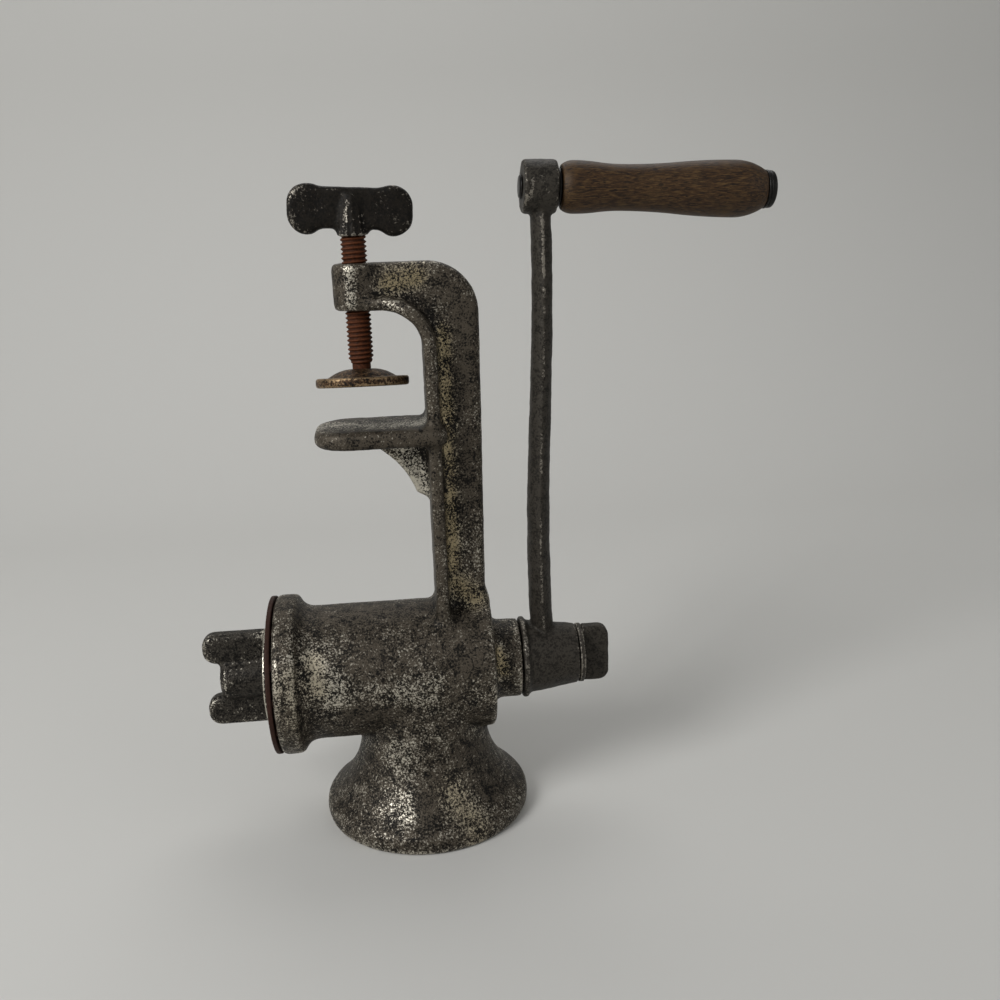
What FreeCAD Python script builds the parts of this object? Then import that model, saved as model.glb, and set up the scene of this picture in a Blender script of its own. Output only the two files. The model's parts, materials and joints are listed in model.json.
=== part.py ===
import FreeCAD, Part
import math
import operator
import os
import Sketcher

# Hand crank meat grinder, standing on the mouth of its hopper.
# The origin is where the clamp screw's axis meets the face of the fixed clamp jaw.
# +Z points from that face towards the clamp arm, +X along the barrel towards the crank.

# Driving sizes in millimetres and degrees: name, value and what it measures.
SIZES = (
    ("throat_depth", 25.3, "clamp screw axis to the inner face of the column"),
    ("arm_clearance", 47.0, "jaw face to the underside of the clamp arm"),
    ("arm_height", 19.0, "height of the clamp arm and of its boss"),
    ("boss_radius", 9.7, "boss that the clamp screw passes through"),
    ("boss_round", 2.0, "rounding of the boss edges"),
    ("web_depth", 24.0, "inner face of the column to its back edge"),
    ("foot_toe", 1.8, "column's foot to the rear face of the barrel"),
    ("web_width", 13.0, "thickness of the column's web"),
    ("web_round", 4.5, "rounding of the web's back edges"),
    ("inner_corner", 15.0, "inner corner between column and arm"),
    ("outer_corner", 21.0, "outer corner between column and arm"),
    ("flange_width", 34.0, "width of the flange along the inner side"),
    ("flange_thick", 5.6, "thickness of that flange"),
    ("flange_round", 2.2, "rounding of the flange edges"),
    ("foot_flare", 6.0, "height of the flare where the column meets the barrel"),
    ("jaw_reach", 21.4, "clamp screw axis to the free end of the jaw"),
    ("jaw_overlap", 8.2, "how far the jaw plate runs past the column's inner face"),
    ("jaw_width", 41.0, "width of the jaw plate"),
    ("jaw_thick", 7.6, "thickness of the jaw plate"),
    ("jaw_corner", 15.0, "plan corners at the jaw's free end"),
    ("jaw_heel", 6.0, "plan corners of the jaw beside the column"),
    ("jaw_round", 3.0, "rounding of the jaw's edges"),
    ("gusset_width", 8.0, "thickness of the rib under the jaw"),
    ("gusset_reach", 25.0, "how far the rib runs out from the column"),
    ("gusset_drop", 25.0, "how far the rib runs down the column"),
    ("gusset_toe", 5.6, "rib left standing at its lower end"),
    ("gusset_sweep", 38.0, "radius of the rib's hollow edge"),
    ("barrel_drop", 110.0, "jaw face down to the barrel axis"),
    ("barrel_reach", 44.6, "clamp screw axis to the front face of the barrel"),
    ("barrel_length", 93.9, "front face to rear face of the barrel"),
    ("barrel_radius", 29.3, "outside of the barrel"),
    ("barrel_round", 2.4, "rounding of the barrel's rear edge"),
    ("bore_radius", 25.0, "bore that the feed screw turns in"),
    ("mouth_radius", 29.5, "bore at the front face"),
    ("mouth_depth", 10.0, "length of the flare at the front of the bore"),
    ("rear_wall", 6.0, "wall at the rear of the bore"),
    ("collar_radius", 35.0, "collar at the front of the barrel"),
    ("collar_length", 9.9, "length of that collar"),
    ("collar_cove", 7.0, "hollow between the collar and the barrel"),
    ("collar_round", 2.0, "rounding of the collar's edges"),
    ("neck_radius", 17.5, "bearing neck behind the barrel"),
    ("neck_length", 12.5, "length of the bearing neck"),
    ("hopper_offset", 17.3, "clamp screw axis to the hopper axis"),
    ("hopper_height", 68.0, "barrel axis to the plane of the hopper mouth"),
    ("hopper_radius", 46.0, "widest point of the hopper bell"),
    ("hopper_lip", 5.0, "mouth plane to the widest point"),
    ("hopper_tuck", 0.7, "how far the lip draws in below its widest point"),
    ("hopper_wall", 4.0, "wall of the hopper"),
    ("throat_radius", 28.2, "outside of the hopper's neck"),
    ("throat_height", 41.0, "mouth plane to where the neck begins to flare"),
    ("lip_bend", 1.3, "inner radius of the bell just above the lip"),
    ("journal_radius", 9.95, "journal of the feed screw"),
    ("running_fit", 0.05, "clearance of a turning fit, on the radius"),
    ("end_play", 0.3, "gap that lets the turning parts run free"),
    ("core_front", 9.0, "core of the feed screw at its front"),
    ("core_rear", 13.0, "core of the feed screw at its rear"),
    ("flight_gap", 0.7, "flight of the feed screw to the bore"),
    ("flight_pitch", 26.0, "pitch of the flight"),
    ("flight_root", 6.0, "thickness of the flight at its root"),
    ("flight_tip", 3.6, "thickness of the flight at its edge"),
    ("drive_square", 11.0, "square that turns the cutter, across flats"),
    ("stud_radius", 5.0, "stud that the wing nut runs on"),
    ("tang_square", 13.0, "square that the crank turns, across flats"),
    ("tang_length", 17.0, "length of that square"),
    ("cutter_radius", 34.6, "cutter plate"),
    ("cutter_thick", 2.0, "thickness of the cutter plate"),
    ("slot_inner", 24.0, "inner end of the cutter's slots"),
    ("slot_outer", 31.5, "outer end of the cutter's slots"),
    ("slot_width", 3.6, "width of the slots"),
    ("slot_count", 12, "slots round the cutter plate"),
    ("collar_ring", 22.3, "pressure ring under the wing nut"),
    ("collar_ring_thick", 2.9, "thickness of that ring"),
    ("nut_length", 27.4, "wing nut from its seat to the tips"),
    ("nut_span", 42.4, "wing nut across its wings"),
    ("nut_thick", 8.0, "thickness of the wings"),
    ("nut_round", 2.4, "rounding of the wings' edges"),
    ("nut_tip_round", 5.5, "rounding of the wings' tips"),
    ("nut_notch", 15.5, "gap between the wings"),
    ("nut_notch_depth", 7.0, "depth of that gap"),
    ("nut_boss", 9.2, "boss of the wing nut"),
    ("nut_wall", 3.0, "metal left beyond the nut's threaded hole"),
    ("hub_length", 25.7, "crank hub"),
    ("hub_radius", 18.3, "crank hub beside the barrel"),
    ("hub_end_radius", 13.6, "crank hub at its outer end"),
    ("hub_bead", 3.4, "plain band at the inner edge of the hub"),
    ("hub_step", 1.7, "step from that band down to the tapered hub"),
    ("hub_round", 1.2, "rounding of the hub's edges"),
    ("crank_length", 203.0, "barrel axis to handle axis"),
    ("arm_root_x", 10.5, "arm centre above the hub, from the hub's inner face"),
    ("arm_middle_x", 11.6, "arm centre at mid length"),
    ("arm_upper_x", 13.8, "arm centre near the eye"),
    ("arm_root_rise", 12.0, "height of the arm's lowest section"),
    ("arm_middle_rise", 108.0, "height of the arm's middle section"),
    ("arm_upper_rise", 168.0, "height of the arm's upper section"),
    ("arm_root_thick", 10.4, "arm thickness above the hub"),
    ("arm_middle_thick", 9.5, "arm thickness at mid length"),
    ("arm_upper_thick", 8.9, "arm thickness near the eye"),
    ("arm_root_width", 16.5, "arm width above the hub"),
    ("arm_middle_width", 14.8, "arm width at mid length"),
    ("arm_upper_width", 13.2, "arm width near the eye"),
    ("eye_x", 13.3, "middle of the eye, from the hub's inner face"),
    ("eye_length", 14.4, "length of the eye"),
    ("eye_radius", 10.7, "outside of the eye"),
    ("eye_round", 1.5, "rounding of the eye's edges"),
    ("handle_droop", 2.2, "tilt of the handle below level"),
    ("spindle_radius", 3.6, "spindle through the grip"),
    ("rivet_radius", 5.2, "riveted end of the spindle"),
    ("rivet_height", 1.1, "height of the riveted end"),
    ("spindle_head", 7.5, "head at the outer end of the spindle"),
    ("spindle_head_height", 2.6, "height of that head"),
    ("inner_washer_radius", 7.4, "washer between the eye and the grip"),
    ("inner_washer_thick", 1.4, "thickness of that washer"),
    ("outer_washer_radius", 7.7, "washer under the spindle head"),
    ("outer_washer_thick", 1.2, "thickness of that washer"),
    ("grip_length", 84.2, "wooden grip"),
    ("grip_start_radius", 8.6, "grip at its face beside the eye"),
    ("grip_crest_radius", 10.4, "first swelling of the grip"),
    ("grip_crest_run", 4.9, "face to the first swelling"),
    ("grip_waist_radius", 9.1, "waist of the grip"),
    ("grip_waist_run", 25.0, "face to the waist"),
    ("grip_belly_radius", 11.35, "fullest part of the grip"),
    ("grip_belly_run", 71.6, "face to the fullest part"),
    ("grip_end_radius", 7.6, "grip at its outer face"),
    ("grip_play", 0.2, "grip clearance on the spindle and at its ends"),
    ("crank_ring_radius", 13.4, "ring under the thumb screw of the crank"),
    ("crank_ring_thick", 2.5, "thickness of that ring"),
    ("key_length", 12.3, "blade of that thumb screw along the axis"),
    ("key_span", 26.6, "blade across the axis"),
    ("key_thick", 6.6, "thickness of the blade"),
    ("key_corner", 5.0, "corners of the blade"),
    ("key_round", 2.0, "rounding of the blade's edges"),
    ("key_shank", 3.95, "shank of the thumb screw"),
    ("key_shank_length", 20.0, "shank beyond the ring"),
    ("key_tip_gap", 1.5, "room left at the end of the shank"),
    ("foot_lift", 16.0, "jaw face to the pressure foot as it stands"),
    ("foot_tilt", 7.5, "how far the loose foot has rocked on the screw"),
    ("foot_radius", 19.2, "pressure foot"),
    ("foot_rim", 3.9, "height of the foot's rim"),
    ("foot_crown", 7.3, "height of the foot at its crown"),
    ("foot_crown_base", 14.0, "base of the foot's crown"),
    ("foot_crown_top", 4.9, "top of the foot's crown"),
    ("foot_crown_sweep", 17.0, "radius of the crown's profile"),
    ("foot_round", 1.0, "rounding of the rim"),
    ("foot_pocket_radius", 6.8, "recess for the riveted end of the screw"),
    ("foot_pocket_depth", 4.4, "depth of that recess"),
    ("swivel_fit", 0.1, "clearance of the foot on the screw"),
    ("screw_radius", 5.25, "clamp screw over its thread"),
    ("screw_thread_start", 12.0, "foot face to the lower end of the thread"),
    ("screw_taper", 2.0, "taper at the lower end of the thread"),
    ("screw_length", 60.5, "foot face to the underside of the thumb plate"),
    ("screw_neck", 3.8, "neck of the screw in the foot"),
    ("screw_peen_radius", 6.2, "riveted end of the screw"),
    ("screw_peen_height", 1.8, "height of the riveted end"),
    ("screw_spigot", 4.0, "spigot of the screw in the thumb plate"),
    ("screw_spigot_length", 13.0, "length of the spigot"),
    ("thread_fit", 0.1, "clearance round the clamp screw in the boss"),
    ("plate_span", 49.8, "thumb plate across its lobes"),
    ("plate_height", 19.8, "height of the thumb plate's lobes"),
    ("plate_thick", 7.0, "thickness of the thumb plate"),
    ("plate_lean", 3.2, "lean of the thumb plate on its screw"),
    ("plate_shift", 0.9, "how far the thumb plate sits off the screw's axis"),
    ("plate_round", 2.2, "rounding of the thumb plate's edges"),
    ("plate_lobe", 8.0, "rounding of the lobes in outline"),
    ("plate_waist_offset", 10.0, "thumb plate axis to the dips in its edges"),
    ("plate_top_dip", 1.1, "dip of the upper edge"),
    ("plate_bottom_dip", 2.4, "dip of the lower edge"),
    ("plate_collar_base", 6.4, "collar of the thumb plate where the screw enters"),
    ("plate_collar_top", 4.6, "upper end of that collar"),
    ("plate_collar_height", 16.0, "height of that collar"),
    ("overrun", 1.0, "how far a cut runs past the face it opens"),
)

SIGNS = {"+": operator.add, "-": operator.sub, "*": operator.mul, "/": operator.truediv}

# Two places nearer than this are the same place.
SAME_PLACE = 1e-4

# Degrees.
FULL_TURN = 360


class Length:
    """A size worked out from the sheet: its present value and the formula that keeps it bound."""

    def __init__(self, value, formula):
        self.value = value
        self.formula = formula

    def __add__(self, other):
        return combine(self, "+", other)

    def __radd__(self, other):
        return combine(other, "+", self)

    def __sub__(self, other):
        return combine(self, "-", other)

    def __rsub__(self, other):
        return combine(other, "-", self)

    def __mul__(self, other):
        return combine(self, "*", other)

    def __rmul__(self, other):
        return combine(other, "*", self)

    def __truediv__(self, other):
        return combine(self, "/", other)

    def __rtruediv__(self, other):
        return combine(other, "/", self)

    def __neg__(self):
        return combine(0, "-", self)


def as_length(size):
    return size if isinstance(size, Length) else Length(float(size), repr(size))


def combine(first, sign, second):
    first = as_length(first)
    second = as_length(second)
    value = SIGNS[sign](first.value, second.value)
    return Length(value, f"({first.formula} {sign} {second.formula})")


def root(length):
    return Length(math.sqrt(length.value), f"sqrt({length.formula})")


def square(length):
    return length * length


def cosine(angle):
    return Length(math.cos(math.radians(angle.value)), f"cos({angle.formula} * 1 deg)")


def sine(angle):
    return Length(math.sin(math.radians(angle.value)), f"sin({angle.formula} * 1 deg)")


class Arc:
    """The bend of an outline from one vertex to the next, as the smaller arc of that radius."""

    def __init__(self, radius, turns_left):
        self.radius = radius
        self.turns_left = turns_left


def left(radius):
    return Arc(radius, True)


def right(radius):
    return Arc(radius, False)


doc = FreeCAD.newDocument("MeatGrinder")
sheet = doc.addObject("Spreadsheet::Sheet", "Sizes")


class Sizes:
    """Each driving size by its name."""


def fill_sheet():
    sizes = Sizes()
    for row, (name, value, meaning) in enumerate(SIZES, 1):
        sheet.set(f"A{row}", meaning)
        sheet.set(f"B{row}", str(value))
        sheet.setAlias(f"B{row}", name)
        setattr(sizes, name, Length(float(value), f"Sizes.{name}"))
    doc.recompute()
    return sizes


S = fill_sheet()


# Helpers for bodies, sketches and features.


def bind(item, path, size):
    item.setExpression(path, as_length(size).formula)


X_DIRECTION = FreeCAD.Vector(1, 0, 0)
Y_DIRECTION = FreeCAD.Vector(0, 1, 0)
Z_DIRECTION = FreeCAD.Vector(0, 0, 1)


def new_body(label, x=0, z=0, turn=None, about=Y_DIRECTION):
    """A body whose own frame lies at (x, 0, z), turned about one direction."""
    body = doc.addObject("PartDesign::Body", label)
    body.Label = label
    if turn:
        body.Placement.Rotation = FreeCAD.Rotation(about, turn.value)
        bind(body, "Placement.Rotation.Angle", turn)
    bind(body, "Placement.Base.x", x)
    bind(body, "Placement.Base.z", z)
    return body


def origin_feature(body, role):
    return next(item for item in body.Origin.OriginFeatures if item.Role == role)


def new_sketch(body, name, role, x=0, y=0, lift=0, turn=None):
    """A sketch on an origin plane, its own origin moved by x and y in the plane and lifted off it."""
    sketch = body.newObject("Sketcher::SketchObject", name)
    sketch.AttachmentSupport = (origin_feature(body, role), [""])
    sketch.MapMode = "FlatFace"
    for axis, size in (("x", x), ("y", y), ("z", lift)):
        bind(sketch, f"AttachmentOffset.Base.{axis}", size)
    if turn:
        sketch.AttachmentOffset.Rotation = FreeCAD.Rotation(Z_DIRECTION, turn.value)
        bind(sketch, "AttachmentOffset.Rotation.Angle", turn)
    return sketch


def constrain(sketch, kind, *where, size):
    size = as_length(size)
    index = sketch.addConstraint(Sketcher.Constraint(kind, *where, size.value))
    sketch.setExpression(f"Constraints[{index}]", size.formula)


def arc_between(start, stop, bend):
    """The smaller arc of the bend's radius from start to stop, as sketch geometry."""
    chord = stop - start
    across = FreeCAD.Vector(-chord.y, chord.x, 0).normalize()
    side = 1 if bend.turns_left else -1
    reach = math.sqrt(bend.radius.value ** 2 - (chord.Length / 2) ** 2)
    centre = (start + stop) / 2 + across * side * reach
    first, last = (start, stop) if bend.turns_left else (stop, start)
    angles = [math.atan2(spot.y - centre.y, spot.x - centre.x) for spot in (first, last)]
    circle = Part.Circle(centre, Z_DIRECTION, bend.radius.value)
    return Part.ArcOfCircle(circle, *angles)


def outline(sketch, vertices):
    """A closed outline through (x, y) vertices; a third entry bends the edge to the next vertex."""
    spots = [FreeCAD.Vector(as_length(v[0]).value, as_length(v[1]).value, 0) for v in vertices]
    ends = []
    for index, vertex in enumerate(vertices):
        start = spots[index]
        stop = spots[(index + 1) % len(spots)]
        if len(vertex) == 2:
            edge = sketch.addGeometry(Part.LineSegment(start, stop))
            ends.append((edge, 1, 2))
            continue
        bend = vertex[2]
        edge = sketch.addGeometry(arc_between(start, stop, bend))
        ends.append((edge, 1, 2) if bend.turns_left else (edge, 2, 1))
    for index, (edge, head, _) in enumerate(ends):
        before, _, tail = ends[index - 1]
        sketch.addConstraint(Sketcher.Constraint("Coincident", before, tail, edge, head))
        constrain(sketch, "DistanceX", -1, 1, edge, head, size=vertices[index][0])
        constrain(sketch, "DistanceY", -1, 1, edge, head, size=vertices[index][1])
        if len(vertices[index]) == 3:
            constrain(sketch, "Radius", edge, size=vertices[index][2].radius)


def circle(sketch, radius):
    edge = sketch.addGeometry(Part.Circle(FreeCAD.Vector(), Z_DIRECTION, radius.value))
    sketch.addConstraint(Sketcher.Constraint("Coincident", edge, 3, -1, 1))
    constrain(sketch, "Radius", edge, size=radius)


def square_outline(sketch, across):
    half = across / 2
    outline(sketch, [(-half, -half), (half, -half), (half, half), (-half, half)])


def pad(body, sketch, length, symmetric=False, cut=False):
    feature = body.newObject("PartDesign::Pocket" if cut else "PartDesign::Pad", sketch.Name + "_run")
    feature.Profile = sketch
    if symmetric:
        feature.SideType = "Symmetric"
    bind(feature, "Length", length)
    return feature


def revolve(body, sketch, axis, cut=False):
    kind = "PartDesign::Groove" if cut else "PartDesign::Revolution"
    feature = body.newObject(kind, sketch.Name + "_turn")
    feature.Profile = sketch
    feature.ReferenceAxis = (sketch, [axis])
    feature.Angle = FULL_TURN
    return feature


def turned(body, name, vertices, axis="H_Axis", role="XZ_Plane", cut=False, **place):
    """A solid of revolution from its half profile."""
    sketch = new_sketch(body, name, role, **place)
    outline(sketch, vertices)
    return revolve(body, sketch, axis, cut)


def round_edges(body, radius, chosen):
    """Round the edges of the body so far that the test accepts."""
    doc.recompute()
    base = body.Tip
    names = [f"Edge{number}" for number, edge in enumerate(base.Shape.Edges, 1) if chosen(edge)]
    fillet = body.newObject("PartDesign::Fillet", base.Name + "_round")
    fillet.Base = (base, names)
    bind(fillet, "Radius", radius)
    return fillet


def near(first, second):
    return abs(first - as_length(second).value) < SAME_PLACE


def edge_on(axis, *levels):
    """A test for edges that lie in a plane square to the axis at one of the levels."""

    def chosen(edge):
        box = edge.BoundBox
        low = getattr(box, axis + "Min")
        high = getattr(box, axis + "Max")
        return high - low < SAME_PLACE and any(near(low, level) for level in levels)

    return chosen


def sweep_radius(run, rise):
    """Radius of an arc that leaves an end level and has moved by rise after run."""
    return (square(run) + square(rise)) / (rise * 2)


def swelling(start, stop):
    """Two equal arcs that lead level from one station to a higher or lower one."""
    run = stop[0] - start[0]
    rise = stop[1] - start[1]
    radius = (square(run) + square(rise)) / (root(square(rise)) * 4)
    middle = ((start[0] + stop[0]) / 2, (start[1] + stop[1]) / 2)
    turns_left = run.value * rise.value > 0
    first, second = (left, right) if turns_left else (right, left)
    return [(*start, first(radius)), (*middle, second(radius))]


def fuse(name, *pieces):
    feature = doc.addObject("Part::MultiFuse", name)
    feature.Shapes = list(pieces)
    return feature


# Places along the barrel axis, from the clamp screw's axis.

barrel_front = -S.barrel_reach
barrel_rear = barrel_front + S.barrel_length
bore_end = barrel_rear - S.rear_wall
neck_end = barrel_rear + S.neck_length
hub_face = neck_end + S.end_play
cutter_back = barrel_front - S.end_play
cutter_face = cutter_back - S.cutter_thick
nut_seat = cutter_face - S.collar_ring_thick
axis_level = -S.barrel_drop
arm_top = S.arm_clearance + S.arm_height
column_back = S.throat_depth + S.web_depth
handle_x = hub_face + S.eye_x
handle_z = axis_level + S.crank_length


def clamp_web():
    """The deep web of the column and arm, with its back edges rounded."""
    body = new_body("clamp_web")
    profile = new_sketch(body, "web_profile", "XZ_Plane")
    corner_start = S.arm_clearance - S.inner_corner
    flare_top = axis_level + S.barrel_radius + S.foot_flare
    base_back = barrel_rear - S.foot_toe
    outline(profile, [
        (0, S.arm_clearance),
        (S.throat_depth - S.inner_corner, S.arm_clearance, right(S.inner_corner)),
        (S.throat_depth, corner_start),
        (S.throat_depth, axis_level),
        (barrel_rear, axis_level),
        (barrel_rear, flare_top - S.foot_flare),
        (base_back, flare_top),
        (column_back, arm_top - S.outer_corner, left(S.outer_corner)),
        (column_back - S.outer_corner, arm_top),
        (0, arm_top),
    ])
    pad(body, profile, S.web_width, symmetric=True)
    half = S.web_width / 2
    in_side = edge_on("Y", half, -half)
    back_line = S.throat_depth + S.flange_thick
    under_line = S.arm_clearance + S.flange_thick

    def back_edge(edge):
        middle = edge.BoundBox.Center
        beyond = middle.x > back_line.value or middle.z > under_line.value
        above_flare = edge.BoundBox.ZMin > (flare_top - S.foot_flare).value - SAME_PLACE
        return in_side(edge) and beyond and above_flare and edge.BoundBox.XMax > SAME_PLACE

    round_edges(body, S.web_round, back_edge)
    return body


def clamp_flange():
    """The flange along the inner side, narrowing from the column's width to that of the boss."""
    strip_body = new_body("flange_strip")
    strip = new_sketch(strip_body, "flange_profile", "XZ_Plane")
    corner_start = S.arm_clearance - S.inner_corner
    corner_x = S.throat_depth - S.inner_corner
    back_corner = S.inner_corner + S.flange_thick
    outline(strip, [
        (0, S.arm_clearance),
        (corner_x, S.arm_clearance, right(S.inner_corner)),
        (S.throat_depth, corner_start),
        (S.throat_depth, axis_level),
        (S.throat_depth + S.flange_thick, axis_level),
        (S.throat_depth + S.flange_thick, corner_start, left(back_corner)),
        (corner_x, S.arm_clearance + S.flange_thick),
        (0, S.arm_clearance + S.flange_thick),
    ])
    pad(strip_body, strip, S.flange_width, symmetric=True)
    plan_body = new_body("flange_plan")
    plan = new_sketch(plan_body, "plan_profile", "XY_Plane", lift=axis_level)
    half = S.flange_width / 2
    end = S.throat_depth + S.flange_thick + S.overrun
    outline(plan, [
        *swelling((as_length(0), -S.boss_radius), (S.throat_depth, -half)),
        (S.throat_depth, -half),
        (end, -half),
        (end, half),
        *swelling((S.throat_depth, half), (as_length(0), S.boss_radius)),
        (0, S.boss_radius),
    ])
    pad(plan_body, plan, arm_top + S.barrel_drop)
    common = doc.addObject("Part::MultiCommon", "flange_blank")
    common.Shapes = [strip_body, plan_body]
    doc.recompute()
    flange = doc.addObject("Part::Fillet", "clamp_flange")
    flange.Base = common
    widest = S.boss_radius.value - SAME_PLACE

    def long_edge(edge):
        box = edge.BoundBox
        beside = box.YMin > widest or box.YMax < -widest
        starts = near(box.XMin, 0) and near(box.XMax, 0)
        stops = near(box.ZMin, axis_level) and near(box.ZMax, axis_level)
        across = box.YLength < SAME_PLACE and near(box.XLength, S.flange_thick)
        return beside and not starts and not stops and not across

    radius = S.flange_round.value
    flange.Edges = [
        (number, radius, radius) for number, edge in enumerate(common.Shape.Edges, 1) if long_edge(edge)
    ]
    return flange


def clamp_boss():
    body = new_body("clamp_boss")
    ring = new_sketch(body, "boss_ring", "XY_Plane", lift=S.arm_clearance)
    circle(ring, S.boss_radius)
    pad(body, ring, S.arm_height)
    round_edges(body, S.boss_round, edge_on("Z", S.arm_clearance, arm_top))
    return body


def jaw_plate():
    """The fixed jaw: a plate with rounded corners and edges, its upper face in the origin plane."""
    body = new_body("jaw_plate")
    plan = new_sketch(body, "jaw_plan", "XY_Plane", lift=-S.jaw_thick)
    half = S.jaw_width / 2
    free = -S.jaw_reach
    heel = S.throat_depth + S.jaw_overlap
    outline(plan, [
        (free + S.jaw_corner, -half),
        (heel - S.jaw_heel, -half, left(S.jaw_heel)),
        (heel, S.jaw_heel - half),
        (heel, half - S.jaw_heel, left(S.jaw_heel)),
        (heel - S.jaw_heel, half),
        (free + S.jaw_corner, half, left(S.jaw_corner)),
        (free, half - S.jaw_corner),
        (free, S.jaw_corner - half, left(S.jaw_corner)),
    ])
    pad(body, plan, S.jaw_thick)
    round_edges(body, S.jaw_round, edge_on("Z", 0, -S.jaw_thick))
    return body


def jaw_gusset():
    """The rib that braces the jaw against the column, with a hollow edge."""
    body = new_body("jaw_gusset")
    profile = new_sketch(body, "gusset_profile", "XZ_Plane")
    behind = S.throat_depth + S.flange_thick / 2
    middle = -S.jaw_thick / 2
    lower = -S.jaw_thick - S.gusset_drop
    outline(profile, [
        (S.throat_depth - S.gusset_reach, middle),
        (S.throat_depth - S.gusset_reach, -S.jaw_thick, right(S.gusset_sweep)),
        (S.throat_depth - S.gusset_toe, lower + S.gusset_toe / 2),
        (S.throat_depth, lower),
        (behind, lower),
        (behind, middle),
    ])
    pad(body, profile, S.gusset_width, symmetric=True)
    return body


def barrel_shell():
    """Outside of the barrel: collar, cove, cylinder and bearing neck in one turned profile."""
    body = new_body("barrel_shell", z=axis_level)
    cove_start = barrel_front + S.collar_length
    cove_rise = S.collar_radius - S.collar_round - S.barrel_radius
    cove_run = root(square(S.collar_cove) - square(S.collar_cove - cove_rise))
    turned(body, "barrel_profile", [
        (barrel_front, 0),
        (neck_end, 0),
        (neck_end, S.neck_radius),
        (barrel_rear, S.neck_radius),
        (barrel_rear, S.barrel_radius - S.barrel_round, left(S.barrel_round)),
        (barrel_rear - S.barrel_round, S.barrel_radius),
        (cove_start + cove_run, S.barrel_radius, right(S.collar_cove)),
        (cove_start, S.barrel_radius + cove_rise, left(S.collar_round)),
        (cove_start - S.collar_round, S.collar_radius),
        (barrel_front + S.collar_round, S.collar_radius, left(S.collar_round)),
        (barrel_front, S.collar_radius - S.collar_round),
    ])
    return body


def bell_curve(wall):
    """The hopper's ogee, inset by wall: up from its widest point, through the flare to the neck's top."""
    spread = S.hopper_radius - S.throat_radius
    climb = S.throat_height - S.hopper_lip
    both = (square(spread) + square(climb)) / (spread * 2)
    lip_radius = S.hopper_wall + S.lip_bend
    share = (lip_radius - wall) / both
    turn_r = S.hopper_radius - lip_radius + (both - spread) * share
    turn_z = S.hopper_lip + climb * share
    return [
        (S.hopper_radius - wall, S.hopper_lip, left(lip_radius - wall)),
        (turn_r, turn_z, right(both - lip_radius + wall)),
        (S.throat_radius - wall, S.throat_height),
        (S.throat_radius - wall, S.hopper_height),
        (0, S.hopper_height),
    ]


def hopper_bell():
    body = new_body("hopper_bell", x=S.hopper_offset, z=axis_level - S.hopper_height)
    tuck_bend = sweep_radius(S.hopper_lip, S.hopper_tuck)
    lip = [(0, 0), (S.hopper_radius - S.hopper_tuck, 0, left(tuck_bend))]
    turned(body, "bell_profile", lip + bell_curve(0), "V_Axis")
    return body


def hopper_hollow():
    body = new_body("hopper_hollow", x=S.hopper_offset, z=axis_level - S.hopper_height)
    mouth = [(0, -S.overrun), (S.hopper_radius - S.hopper_wall, -S.overrun)]
    turned(body, "hollow_profile", mouth + bell_curve(S.hopper_wall), "V_Axis")
    return body


def barrel_hollow():
    """Bore of the barrel, flared at the front, with the journal's bearing behind it."""
    body = new_body("barrel_hollow", z=axis_level)
    bearing = S.journal_radius + S.running_fit
    turned(body, "bore_profile", [
        (barrel_front - S.overrun, 0),
        (neck_end + S.overrun, 0),
        (neck_end + S.overrun, bearing),
        (bore_end, bearing),
        (bore_end, S.bore_radius),
        (barrel_front + S.mouth_depth, S.bore_radius),
        (barrel_front, S.mouth_radius),
        (barrel_front - S.overrun, S.mouth_radius),
    ])
    return body


def screw_hollow():
    hole = doc.addObject("Part::Cylinder", "screw_hollow")
    bind(hole, "Radius", S.screw_radius + S.thread_fit)
    bind(hole, "Height", S.arm_height + S.overrun * 2)
    bind(hole, "Placement.Base.z", S.arm_clearance - S.overrun)
    return hole


def grinder_body():
    """The one-piece casting: barrel, hopper, column, clamp arm and fixed jaw."""
    frame = [clamp_web(), clamp_flange(), clamp_boss(), jaw_plate(), jaw_gusset()]
    outside = fuse("casting_outside", barrel_shell(), hopper_bell(), *frame)
    hollow = fuse("casting_hollow", barrel_hollow(), hopper_hollow(), screw_hollow())
    casting = doc.addObject("Part::Cut", "grinder_body")
    casting.Base = outside
    casting.Tool = hollow
    return casting


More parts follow.
